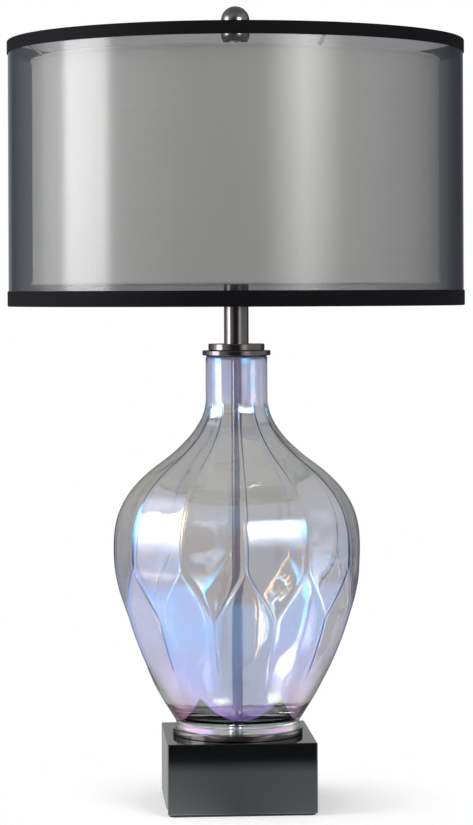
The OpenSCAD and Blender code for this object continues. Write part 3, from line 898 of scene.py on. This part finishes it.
@dataclass
class GlassBody:
    """The glass: a round foot, two tiers of flat panels that meet in a zigzag, and a flared neck."""

    foot_r: float = 58.5 * MM
    foot_h: float = 9.6 * MM
    belly_r: float = 117.0 * MM
    belly_h: float = 171.6 * MM
    shoulder_r: float = 72.8 * MM
    shoulder_h: float = 82.0 * MM
    flare_h: float = 60.0 * MM
    neck_r: float = 29.4 * MM
    wall: float = 3.0 * MM
    floor: float = 15.0 * MM
    bowl: float = 14.0 * MM
    hole_r: float = 7.0 * MM
    edge: float = 1.5 * MM
    valley_h: float = 113.6 * MM
    peak_h: float = 159.6 * MM
    plain_low: float = 28.0 * MM
    full_h: float = 78.0 * MM
    plain_high: float = 10.0 * MM
    panels: int = 12
    lower_power: float = 1.85
    shoulder_power: float = 2.6
    outer_crispness: float = 2000.0
    inner_crispness: float = 200.0
    ridge: float = 0.42 * MM
    ridge_width: float = 0.0012
    tip: float = 0.08
    cut_slack: float = 0.1 * MM
    columns: int = 480
    edge_rows: int = 5
    foot_rows: int = 5
    lower_rows: int = 44
    shoulder_rows: int = 40
    flare_rows: int = 61
    neck_rows: int = 7
    lip_rows: int = 9
    bowl_rows: int = 10

    def __post_init__(self) -> None:
        """Works out the heights that follow from the sizes."""
        low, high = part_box("glass_body")
        self.base_z = low.z
        self.lip_h = high.z - low.z
        self.turn_h = self.belly_h + self.shoulder_h
        self.neck_h = self.turn_h + self.flare_h

    def radius(self, h: np.ndarray) -> np.ndarray:
        """Works out the radius along the edges between the panels.

        Args:
            h: Heights above the glass's bottom.

        Returns:
            The radii.
        """
        slope = (self.belly_r - self.shoulder_r) * self.shoulder_power / self.shoulder_h
        flare_power = slope * self.flare_h / (self.shoulder_r - self.neck_r)
        low = np.clip((h - self.foot_h) / (self.belly_h - self.foot_h), 0.0, 1.0)
        high = np.clip((h - self.belly_h) / self.shoulder_h, 0.0, 1.0)
        flare = np.clip((self.neck_h - h) / self.flare_h, 0.0, 1.0)
        return np.where(
            h <= self.belly_h,
            self.belly_r - (self.belly_r - self.foot_r) * (1.0 - low) ** self.lower_power,
            np.where(
                h <= self.turn_h,
                self.belly_r - (self.belly_r - self.shoulder_r) * high ** self.shoulder_power,
                self.neck_r + (self.shoulder_r - self.neck_r) * flare ** flare_power,
            ),
        )

    def depth(self, h: np.ndarray) -> np.ndarray:
        """Works out how strongly the panels show.

        Args:
            h: Heights above the glass's bottom.

        Returns:
            Shares from 0 to 1.
        """
        fade_low = self.foot_h + self.plain_low
        fade_high = self.neck_h - self.plain_high
        rise = np.clip((h - fade_low) / (self.full_h - fade_low), 0.0, 1.0)
        fall = np.clip((h - fade_high) / (self.neck_h - fade_high), 0.0, 1.0)
        return rise ** 2 * (3.0 - 2.0 * rise) * (1.0 - fall ** 2 * (3.0 - 2.0 * fall))

    def eased_rise(self, way: np.ndarray) -> np.ndarray:
        """Works out how far up the zigzag a crease has come, with eased ends.

        Args:
            way: Shares of the way from the valleys to the peaks, also beyond both.

        Returns:
            Shares from 0 to 1.
        """
        low = np.clip(way + self.tip, 0.0, 2.0 * self.tip) ** 2 / (4.0 * self.tip)
        high = np.clip(1.0 + self.tip - way, 0.0, 2.0 * self.tip) ** 2 / (4.0 * self.tip)
        first_half = np.maximum(low, np.minimum(way, 0.5))
        return np.where(way < 0.5, first_half, 1.0 - np.maximum(high, 1.0 - way))

    def zigzag_heights(self) -> np.ndarray:
        """Works out where the zigzag meets the grid's columns.

        Returns:
            Heights from the valleys to the peaks.
        """
        count = self.columns // self.panels // 2
        rise = np.arange(count + 1) / count
        way = np.where(rise < self.tip, 2.0 * np.sqrt(self.tip * rise) - self.tip, rise)
        way = np.where(rise > 1.0 - self.tip, 1.0 + self.tip - 2.0 * np.sqrt(self.tip * (1.0 - rise)), way)
        return self.valley_h + (self.peak_h - self.valley_h) * way

    def reaches(self, angles: np.ndarray, h: np.ndarray) -> np.ndarray:
        """How far out each flat panel would lie alone, as a share of the edge radius.

        Args:
            angles: Directions round the axis, in radians.
            h: Heights, in an array of the same shape.

        Returns:
            The shares, of shape (panels that can be nearest, rows, columns).
        """
        step = 2.0 * math.pi / self.panels
        rise = self.eased_rise((h - self.valley_h) / (self.peak_h - self.valley_h))
        found = []
        for tier_turn, tier in ((0.5 * step, rise), (0.0, 1.0 - rise)):
            off = (angles - tier_turn + 0.5 * step) % step - 0.5 * step
            for neighbour in (-step, 0.0, step):
                found.append(np.cos(0.5 * step * tier) / np.cos(off + neighbour))
        return np.sort(np.array(found), axis=0)

    def rows(self, heights: np.ndarray, crispness: float, ridge: float, inset: np.ndarray) -> np.ndarray:
        """Rows of points round the panelled glass.

        Args:
            heights: The rows' heights above the glass's bottom.
            crispness: How tight the creases are.
            ridge: How far a fine line stands up along each crease.
            inset: How far each row lies in from the outside.

        Returns:
            Places of shape (rows, columns, 3).
        """
        angles, h = np.meshgrid(ring_angles(self.columns), heights)
        reach = self.reaches(angles, h)
        share = 1.0 - np.log(np.exp(-crispness * (reach - 1.0)).sum(axis=0)) / crispness
        crease = np.exp(-(((reach[1] - reach[0]) / self.ridge_width) ** 2))
        radius = self.radius(h) * (1.0 - self.depth(h) * (1.0 - share)) + ridge * crease * self.depth(h)
        radius -= inset[:, None]
        return np.stack([radius * np.cos(angles), radius * np.sin(angles), self.base_z + h], axis=-1)

    def inside(self, heights: np.ndarray) -> np.ndarray:
        """Rows of points on the inside, one wall in from the outside, with a hollow curve to the floor.

        Args:
            heights: The rows' heights above the glass's bottom.

        Returns:
            Places of shape (rows, columns, 3).
        """
        slope = (self.radius(heights + MM) - self.radius(heights - MM)) / (2.0 * MM)
        dip = np.clip((self.floor + self.bowl - heights) / self.bowl, 0.0, 1.0)
        inset = self.wall * np.sqrt(1.0 + slope ** 2) + self.bowl * (1.0 - np.sqrt(1.0 - dip ** 2))
        return self.rows(heights, self.inner_crispness, 0.0, inset)

    def cuts(self, points: np.ndarray) -> np.ndarray:
        """Works out how the squares of a grid are cut, so that the zigzag runs along their edges.

        Args:
            points: The grid's places, of shape (rows, columns, 3).

        Returns:
            1 for a cut along the falling diagonal, -1 along the rising one, and 0 for none.
        """
        h = points[:, 0, 2] - self.base_z
        after = np.roll(h, -1)
        low, high = self.zigzag_heights()[[0, -1]]
        above = np.minimum(h, after) > low - self.cut_slack
        below = np.maximum(h, after) < high + self.cut_slack
        half = self.columns // self.panels // 2
        falls = np.where(np.arange(self.columns) // half % 2 == 0, 1, -1)
        return (np.where(after > h, 1, -1) * (above & below))[:, None] * falls[None, :]

    def build(self) -> None:
        """Makes the glass as one closed wall and dresses what seats it."""
        foot_r, edge = self.foot_r - self.edge, self.edge
        foot = [(self.hole_r, self.base_z)] + [
            (foot_r + edge * math.sin(t), self.base_z + edge * (1.0 - math.cos(t)))
            for t in np.linspace(0.0, 0.5 * math.pi, self.edge_rows)
        ]
        zigzag = self.zigzag_heights()
        rising = np.concatenate([
            np.linspace(edge, self.foot_h, self.foot_rows)[1:],
            np.linspace(self.foot_h, zigzag[0], self.lower_rows)[1:-1],
            zigzag,
            np.linspace(zigzag[-1], self.turn_h, self.shoulder_rows)[1:],
            np.linspace(self.turn_h, self.neck_h, self.flare_rows)[1:],
            np.linspace(self.neck_h, self.lip_h - 0.5 * self.wall, self.neck_rows)[1:],
        ])
        round_r = 0.5 * self.wall
        lip_r, lip_z = self.neck_r - round_r, self.base_z + self.lip_h - round_r
        lip = [
            (lip_r + round_r * math.cos(t), lip_z + round_r * math.sin(t))
            for t in np.linspace(0.0, math.pi, self.lip_rows)[1:-1]
        ]
        bowl_top = self.floor + self.bowl
        falling = np.concatenate([
            rising[rising > bowl_top][::-1],
            self.floor + self.bowl * (1.0 - np.sin(np.linspace(0.0, 0.5 * math.pi, self.bowl_rows))),
        ])
        points = np.concatenate([
            turned(foot, self.columns),
            self.rows(rising, self.outer_crispness, self.ridge, np.zeros_like(rising)),
            turned(lip, self.columns),
            self.inside(falling),
            turned([(self.hole_r, self.base_z + self.floor)], self.columns),
        ])
        piece = grid_piece("glass_faceted", points, loop=True, cuts=self.cuts(points))
        settle(piece, Body.LAMP, LUSTRE, Slot.GLASS, "glass_body")
        dress_nodes(RUBBER, "lower_gasket", "upper_gasket")
        dress_nodes(BLACK_NICKEL, "seat_ring", "vase_cap", "neck_tube")
        dress_nodes(BRIGHT_NICKEL, "lamp_pipe")


@dataclass
class HarpAndSocket:
    """The wire harp over the bulb, and the socket between its feet."""

    foot_x: float = 30.0 * MM
    side_x: float = 57.0 * MM
    wire_r: float = 2.0 * MM
    bend_r: float = 30.0 * MM
    bend_angle: float = math.radians(35.0)
    sleeve_lift: float = 12.3 * MM
    sides: int = 20
    bend_rows: int = 10
    crown_rows: int = 28

    def path(self) -> list[tuple[float, float, float]]:
        """Works out the wire's middle from one foot to the other.

        Returns:
            For each point the place across, the height and the lean from upright.
        """
        low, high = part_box("harp_wire")
        bend_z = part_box("harp_sleeve_right")[1].z + self.sleeve_lift
        crown_z = high.z - self.wire_r - self.side_x
        out = self.side_x - self.foot_x - 2 * self.bend_r * (1 - math.cos(self.bend_angle))
        run = out / math.sin(self.bend_angle)
        side_z = bend_z + 2 * self.bend_r * math.sin(self.bend_angle) + run * math.cos(self.bend_angle)
        bend = [
            (self.bend_r * (1 - math.cos(t)), self.bend_r * math.sin(t), t)
            for t in np.linspace(0.0, self.bend_angle, self.bend_rows)
        ]
        right = [(self.foot_x, low.z, 0.0)]
        right += [(self.foot_x + across, bend_z + rise, lean) for across, rise, lean in bend]
        right += [(self.side_x - across, side_z - rise, lean) for across, rise, lean in bend[::-1]]
        right += [
            (self.side_x * math.cos(t), crown_z + self.side_x * math.sin(t), -t)
            for t in np.linspace(0.0, 0.5 * math.pi, self.crown_rows)
        ]
        left = [(-x, z, -math.pi - lean) for x, z, lean in right[-2::-1]]
        return right + left

    def build(self) -> None:
        """Makes the wire and dresses the socket and the bulb."""
        turn = -ring_angles(self.sides)
        rows = [
            np.column_stack([
                x + self.wire_r * np.cos(turn) * math.cos(lean),
                self.wire_r * np.sin(turn),
                z - self.wire_r * np.cos(turn) * math.sin(lean),
            ])
            for x, z, lean in self.path()
        ]
        piece = grid_piece("harp_bow", np.array(rows)[:, ::-1], caps=True)
        settle(piece, Body.LAMP, BLACK_NICKEL, Slot.HARP, "harp_wire")
        dress_nodes(
            BLACK_NICKEL, "harp_saddle", "harp_stud", "harp_sleeve_left", "harp_sleeve_right", "socket_cap",
            "socket_shell",
        )
        dress_nodes(SHEET_STEEL, "socket_set_screw")
        dress_nodes(CARD, "socket_insulator")
        dress_nodes(MOULDED_BLACK, "socket_core", "switch_knob")
        dress_nodes(BRASS, "screw_shell", "centre_contact", "terminal_screws", "switch_shaft")
        dress_nodes(CAP_METAL, "bulb_base")
        dress_nodes(OPAL, "bulb_globe")


@dataclass
class Shade:
    """The two drums, their wire rings and the ribbons along the outer drum's edges."""

    sheer_t: float = 0.5 * MM
    liner_t: float = 0.8 * MM
    satin_lift: float = 0.12 * MM
    trim_t: float = 0.7 * MM
    trim_fold: float = 6.0 * MM
    trim_in_r: float = 211.8 * MM
    trim_gap: float = 0.1 * MM
    fold_ease: float = 1.6 * MM
    end_ease: float = 0.25 * MM
    roll_start: float = 150.0
    roll_end: float = 410.0
    roll_rows: int = 16
    drum_rows: int = 12
    columns: int = 256

    def sheer(self) -> None:
        """The outer drum of organza."""
        low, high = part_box("outer_sheer")
        radius = high.x - 0.5 * self.sheer_t
        profile = [(radius, z) for z in np.linspace(low.z, high.z, self.drum_rows)]
        piece = grid_piece("sheer_drum", turned(profile, self.columns))
        settle(piece, Body.SHADE, SHEER, Slot.SHEER, "outer_sheer")

    def wrap(self, ring: str, start: float, end: float) -> list[tuple[float, float]]:
        """Radius and height of cloth rolled round a ring's wire.

        Args:
            ring: The ring's node.
            start: Where the roll starts, in degrees from straight out.
            end: Where it ends.

        Returns:
            Its points.
        """
        low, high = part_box(ring)
        wire_r = 0.5 * (high.z - low.z)
        roll = wire_r + self.satin_lift
        return [
            (high.x - wire_r + roll * math.cos(a), low.z + wire_r + roll * math.sin(a))
            for a in np.radians(np.linspace(start, end, self.roll_rows))
        ]

    def liner(self) -> None:
        """The inner drum: satin on a white backing, rolled over the wires at its edges."""
        low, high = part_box("inner_liner")
        ease = 2.0 * self.liner_t
        profile = self.wrap("inner_bottom_ring", self.roll_start, self.roll_end)
        profile += [(high.x, z) for z in np.linspace(low.z + ease, high.z - ease, self.drum_rows)]
        profile += self.wrap("inner_top_ring", FULL_TURN - self.roll_end, FULL_TURN - self.roll_start)
        piece = grid_piece("satin_drum", turned(profile, self.columns))
        settle(piece, Body.SHADE, SATIN, Slot.SATIN, "inner_liner")
        out, inner = high.x - self.satin_lift, high.x - self.liner_t
        outline = [(out, low.z), (out, high.z), (inner, high.z), (inner, low.z)]
        backing = grid_piece("liner_backing", turned(outline, self.columns), loop=True)
        settle(backing, Body.SHADE, STYRENE, Slot.SATIN)

    def trim(self, node: str, name: str, up: float) -> None:
        """One ribbon folded over an edge of the outer drum.

        Args:
            node: The CAD node that it stands for.
            name: The piece's name.
            up: 1 for the top edge and -1 for the bottom one.
        """
        low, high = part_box(node)
        edge = high.z if up > 0 else low.z
        out, outer_in = high.x, high.x - self.trim_t
        leg, leg_in = self.trim_in_r - self.trim_t, self.trim_in_r
        drop, under, turn_in = high.z - low.z, self.trim_t, self.trim_fold
        fold, inner_fold, ease = self.fold_ease, self.fold_ease - self.trim_t, self.end_ease
        corners = [
            (outer_in, -drop, ease), (out, -drop, ease), (out, 0.0, fold), (leg, 0.0, fold),
            (leg, -turn_in, ease), (leg_in, -turn_in, ease), (leg_in, -under, inner_fold),
            (outer_in, -under, inner_fold),
        ]
        outline = [(r, edge + up * z) for r, z in eased(corners)]
        if up < 0:
            outline.reverse()
        piece = grid_piece(name, turned(outline, self.columns), loop=True)
        settle(piece, Body.SHADE, TRIM, Slot.TRIM, node)

    def build(self) -> None:
        """Makes the cloth and dresses the wire."""
        self.liner()
        self.sheer()
        self.trim("top_trim", "top_ribbon", 1.0)
        self.trim("bottom_trim", "bottom_ribbon", -1.0)
        dress_nodes(BRASS_WIRE, "spider_hub", "spider_arms", "ring_links")
        dress_nodes(BRASS_WIRE, "inner_top_ring", "inner_bottom_ring")
        dress_nodes(BRASS_WIRE, "outer_top_ring", "outer_bottom_ring")
        dress_nodes(BALL_NICKEL, "finial")


@dataclass(frozen=True)
class PhotoCamera:
    """A level camera, a little left of the front, whose picture has its horizon above the middle."""

    width_px: float = 473.0
    height_px: float = 825.0
    focal_px: float = 2813.0
    horizon_px: float = 293.6
    axis_px: float = 236.2
    azimuth: float = -3.8
    distance: float = 2.675
    height: float = 0.4846
    roll: float = 0.21
    sensor_mm: float = 36.0

    def toward(self) -> Vector:
        """The level direction from the lamp to the camera."""
        a = math.radians(self.azimuth)
        return Vector((math.sin(a), -math.cos(a), 0.0))

    def build(self) -> None:
        """Sets the scene's camera."""
        data = bpy.data.cameras.new("photo_camera")
        data.sensor_width = self.sensor_mm
        data.lens = self.focal_px / self.height_px * self.sensor_mm
        data.shift_x = (0.5 * self.width_px - self.axis_px) / self.height_px
        data.shift_y = (self.horizon_px - 0.5 * self.height_px) / self.height_px
        camera = bpy.data.objects.new("photo_camera", data)
        camera.location = self.toward() * self.distance + Vector((0.0, 0.0, self.height))
        level = (-self.toward()).to_track_quat("-Z", "Y")
        camera.rotation_mode = "QUATERNION"
        camera.rotation_quaternion = level @ Quaternion((0.0, 0.0, 1.0), math.radians(-self.roll))
        bpy.context.scene.collection.objects.link(camera)
        bpy.context.scene.camera = camera
        LOG.info("camera at %s", tuple(round(x, 3) for x in camera.location))


@dataclass(frozen=True)
class Softbox:
    """A flat soft light that stands upright beside the lamp, faces it and fades towards its edges.

    The turn counts to the right from the camera, and the spread is how wide the lamp sees it, in degrees.
    """

    name: str
    turn: float
    spread: float
    distance: float
    low: float
    high: float
    watts: float
    soft_low: float
    soft_high: float
    soft_side: float

    def grade(self, data: bpy.types.AreaLight, direction: Vector) -> None:
        """Makes the light fade towards its edges.

        Args:
            data: The light.
            direction: The level direction from the lamp to it.
        """
        data.use_nodes = True
        graph = Graph(data.node_tree)
        place = graph.parts(graph.node("ShaderNodeNewGeometry", output="Position"))
        rise = place[Axis.Z].ramp(self.low, self.low + self.soft_low)
        fall = place[Axis.Z].ramp(self.high, self.high - self.soft_high)
        across = (place[Axis.Y] * direction.x - place[Axis.X] * direction.y) / (0.5 * data.size)
        side = across.size().ramp(1.0, 1.0 - self.soft_side)
        glow = graph.node("ShaderNodeEmission", sockets={"Strength": rise ** 2.0 * fall ** 2.0 * side})
        graph.node("ShaderNodeOutputLight", sockets={"Surface": glow})

    def build(self, toward: Vector) -> None:
        """Sets the light up.

        Args:
            toward: The level direction from the lamp to the camera.
        """
        direction = Quaternion((0.0, 0.0, 1.0), math.radians(self.turn)) @ toward
        data = bpy.data.lights.new(self.name, "AREA")
        data.shape = "RECTANGLE"
        data.size = 2.0 * self.distance * math.tan(0.5 * math.radians(self.spread))
        data.size_y = self.high - self.low
        data.energy = self.watts
        self.grade(data, direction)
        light = bpy.data.objects.new(self.name, data)
        light.location = direction * self.distance + Vector((0.0, 0.0, 0.5 * (self.low + self.high)))
        light.rotation_euler = (-direction).to_track_quat("-Z", "Y").to_euler()
        light.visible_camera = False
        bpy.context.scene.collection.objects.link(light)
        LOG.info("%s stands %.0f degrees from the camera", self.name, self.turn)


SOFTBOXES = (
    Softbox(
        "left_softbox", turn=-74.0, spread=29.0, distance=1.217, low=0.0, high=1.55, watts=27.6,
        soft_low=0.5, soft_high=0.6, soft_side=0.15,
    ),
    Softbox(
        "left_fill", turn=-96.0, spread=20.0, distance=1.25, low=0.0, high=1.6, watts=2.8,
        soft_low=0.4, soft_high=0.4, soft_side=0.5,
    ),
    Softbox(
        "right_softbox", turn=32.6, spread=38.0, distance=2.0, low=0.15, high=1.6, watts=161.0,
        soft_low=1.1, soft_high=0.45, soft_side=1.0,
    ),
)


@dataclass(frozen=True)
class Studio:
    """A pale floor and backdrop with soft lights.

    Strengths are shares of white. A span gives the part of a direction, of length 1, at which something is
    nothing, and then the one at which it is whole.
    """

    ambient: float = 0.4
    backdrop: float = 0.42
    ahead: float = 0.06
    beside: float = 0.5
    above: float = 0.25
    backdrop_start: Span = (0.919, 0.981)
    beside_start: Span = (-0.93, -0.68)
    beside_end: float = 1.0
    beside_fade: float = 0.5
    beside_top: Span = (0.84, 0.44)
    right_start: Span = (-1.0, 0.667)
    right_cut: float = 0.3
    above_start: Span = (0.35, 0.75)
    floor_colour: Colour = (0.8, 0.8, 0.8)
    floor_front: float = -0.385
    floor_fade: float = 0.075
    floor_half: float = 6.0
    floor_glow: float = 0.3
    pool_core: float = 0.7
    pool: float = 2.4
    pool_left: float = 1.7
    pool_right: float = 0.8
    pool_side: float = 0.833
    pool_back: Span = (0.6, 0.1)
    lane_half: float = 0.2
    lane_soft: float = 0.1
    lane_front: float = -0.07
    lane_fade: float = 0.05
    shadow_reach: float = 0.09
    shadow_fade: float = 0.12

    def views(self, graph: Graph) -> tuple[Signal, Signal, Signal]:
        """Tells rays apart by what they have met.

        Args:
            graph: The node tree.

        Returns:
            1 for the bare eye's ray, for one through glass or sheer cloth, and for a mirrored one, else 0.
        """
        path = graph.node("ShaderNodeLightPath", output="Is Camera Ray")
        veiled = path.other("Transparent Depth").limited()
        bare = path * (1.0 - veiled)
        through = (path * veiled + path.other("Is Transmission Ray")).limited()
        return bare, through, path.other("Is Glossy Ray") * (1.0 - through)

    def surround(self, graph: Graph, direction: Signal) -> Signal:
        """How bright the studio looks in metal and glass: dark ahead, pale beside and behind the lamp.

        Args:
            graph: The node tree.
            direction: Where it is looked at from the lamp, as a vector of length 1.

        Returns:
            The strength.
        """
        parts = graph.parts(direction)
        right, away, up = parts[Axis.X], parts[Axis.Y], parts[Axis.Z]
        back = away.ramp(*self.backdrop_start)
        cut = right.ramp(*self.right_start) * self.right_cut
        side = ((self.beside_end - cut - away) / self.beside_fade).limited()
        side = away.ramp(*self.beside_start) * side * up.ramp(*self.beside_top)
        over = up.ramp(*self.above_start)
        return back * (self.backdrop - self.ahead) + side * self.beside + over * self.above + self.ahead

    def world(self) -> None:
        """White to the bare eye, pale grey through glass and behind the lamp in metal, and dark ahead."""
        world = bpy.data.worlds.new("studio")
        bpy.context.scene.world = world
        world.use_nodes = True
        graph = Graph(world.node_tree)
        bare, through, mirrored = self.views(graph)
        glossy = self.surround(graph, graph.node("ShaderNodeTexCoord", output="Generated"))
        matt = (1.0 - mirrored) * (1.0 - through) * (1.0 - bare)
        strength = bare + through * self.backdrop + mirrored * glossy + matt * self.ambient
        light = graph.node("ShaderNodeBackground", sockets={"Color": (1.0, 1.0, 1.0), "Strength": strength})
        graph.node("ShaderNodeOutputWorld", sockets={"Surface": light})

    def mirrored_floor(self, graph: Graph, away: Signal) -> Signal:
        """How bright the floor looks in metal and glass: painted pools of light beside the lamp, grey
        behind it, and painted shade in a strip under and behind it.

        Args:
            graph: The floor's node tree.
            away: How far a place lies from the lamp.

        Returns:
            The strength.
        """
        spot = graph.place()
        outward = graph.node("ShaderNodeVectorMath", {"operation": "NORMALIZE"}, {0: spot}, "Vector")
        studio = self.surround(graph, outward)
        turn, place = graph.parts(outward), graph.parts(spot)
        pools = [(-self.pool_side, self.pool_left), (self.pool_side, self.pool_right)]
        left, right = (turn[Axis.X].ramp(0.0, side) * strength for side, strength in pools)
        lit = away.ramp(self.pool, self.pool_core) * turn[Axis.Y].ramp(*self.pool_back)
        lit = lit * place[Axis.Y].ramp(self.floor_front, self.floor_front + self.floor_fade)
        bright = lit * (left + right + 1.0 - studio) + studio
        # Painted shade: a strip under and behind the lamp is set to the backdrop's grey instead of the lit
        # pools
        painted_shade_strip = place[Axis.X].size().ramp(self.lane_half, self.lane_half - self.lane_soft)
        painted_shade_strip = painted_shade_strip * place[Axis.Y].ramp(self.lane_front, self.lane_front + self.lane_fade)
        return bright * (1.0 - painted_shade_strip) + painted_shade_strip * self.backdrop

    def floor_material(self) -> bpy.types.Material:
        """Makes the floor's white: shaded near the lamp, and as bright as the studio further off.

        Returns:
            The material.
        """
        material = bpy.data.materials.new("floor_white")
        material.use_nodes = True
        graph = Graph(material.node_tree)
        bare, through, mirrored = self.views(graph)
        matt = graph.node("ShaderNodeBsdfDiffuse", sockets={"Color": self.floor_colour})
        glow = graph.node("ShaderNodeEmission", sockets={"Strength": bare * self.floor_glow})
        shaded = graph.node("ShaderNodeAddShader", sockets={0: matt, 1: glow})
        away = graph.node("ShaderNodeVectorMath", {"operation": "LENGTH"}, {0: graph.place()}, "Value")
        seen = bare + through * self.backdrop + mirrored * self.mirrored_floor(graph, away)
        far = graph.node("ShaderNodeEmission", sockets={"Strength": seen})
        fade = ((away - self.shadow_reach) / self.shadow_fade + mirrored + through).limited()
        graph.node("ShaderNodeOutputMaterial", sockets={"Surface": graph.blend(shaded, far, fade)})
        return material

    def floor(self) -> None:
        """Lays a floor that keeps the lamp's shadow and ends a little ahead of the lamp."""
        half, front = self.floor_half, self.floor_front
        corners = [(-half, front, 0.0), (half, front, 0.0), (half, half, 0.0), (-half, half, 0.0)]
        mesh = bpy.data.meshes.new("floor")
        mesh.from_pydata(corners, [], [(0, 1, 2, 3)])
        mesh.materials.append(self.floor_material())
        floor = bpy.data.objects.new("floor", mesh)
        bpy.context.scene.collection.objects.link(floor)

    def build(self, toward: Vector) -> None:
        """Sets up the world, the floor and the lights.

        Args:
            toward: The level direction from the lamp to the camera.
        """
        self.world()
        self.floor()
        for softbox in SOFTBOXES:
            softbox.build(toward)
        bpy.context.scene.view_settings.view_transform = "Standard"


def main() -> None:
    """Builds the camera, the studio and the lamp."""
    logging.basicConfig(level=logging.INFO, format="%(name)s: %(message)s")
    camera = PhotoCamera()
    camera.build()
    Studio().build(camera.toward())
    for assembly in (Base(), GlassBody(), HarpAndSocket(), Shade()):
        assembly.build()


if __name__ == "__main__":
    main()
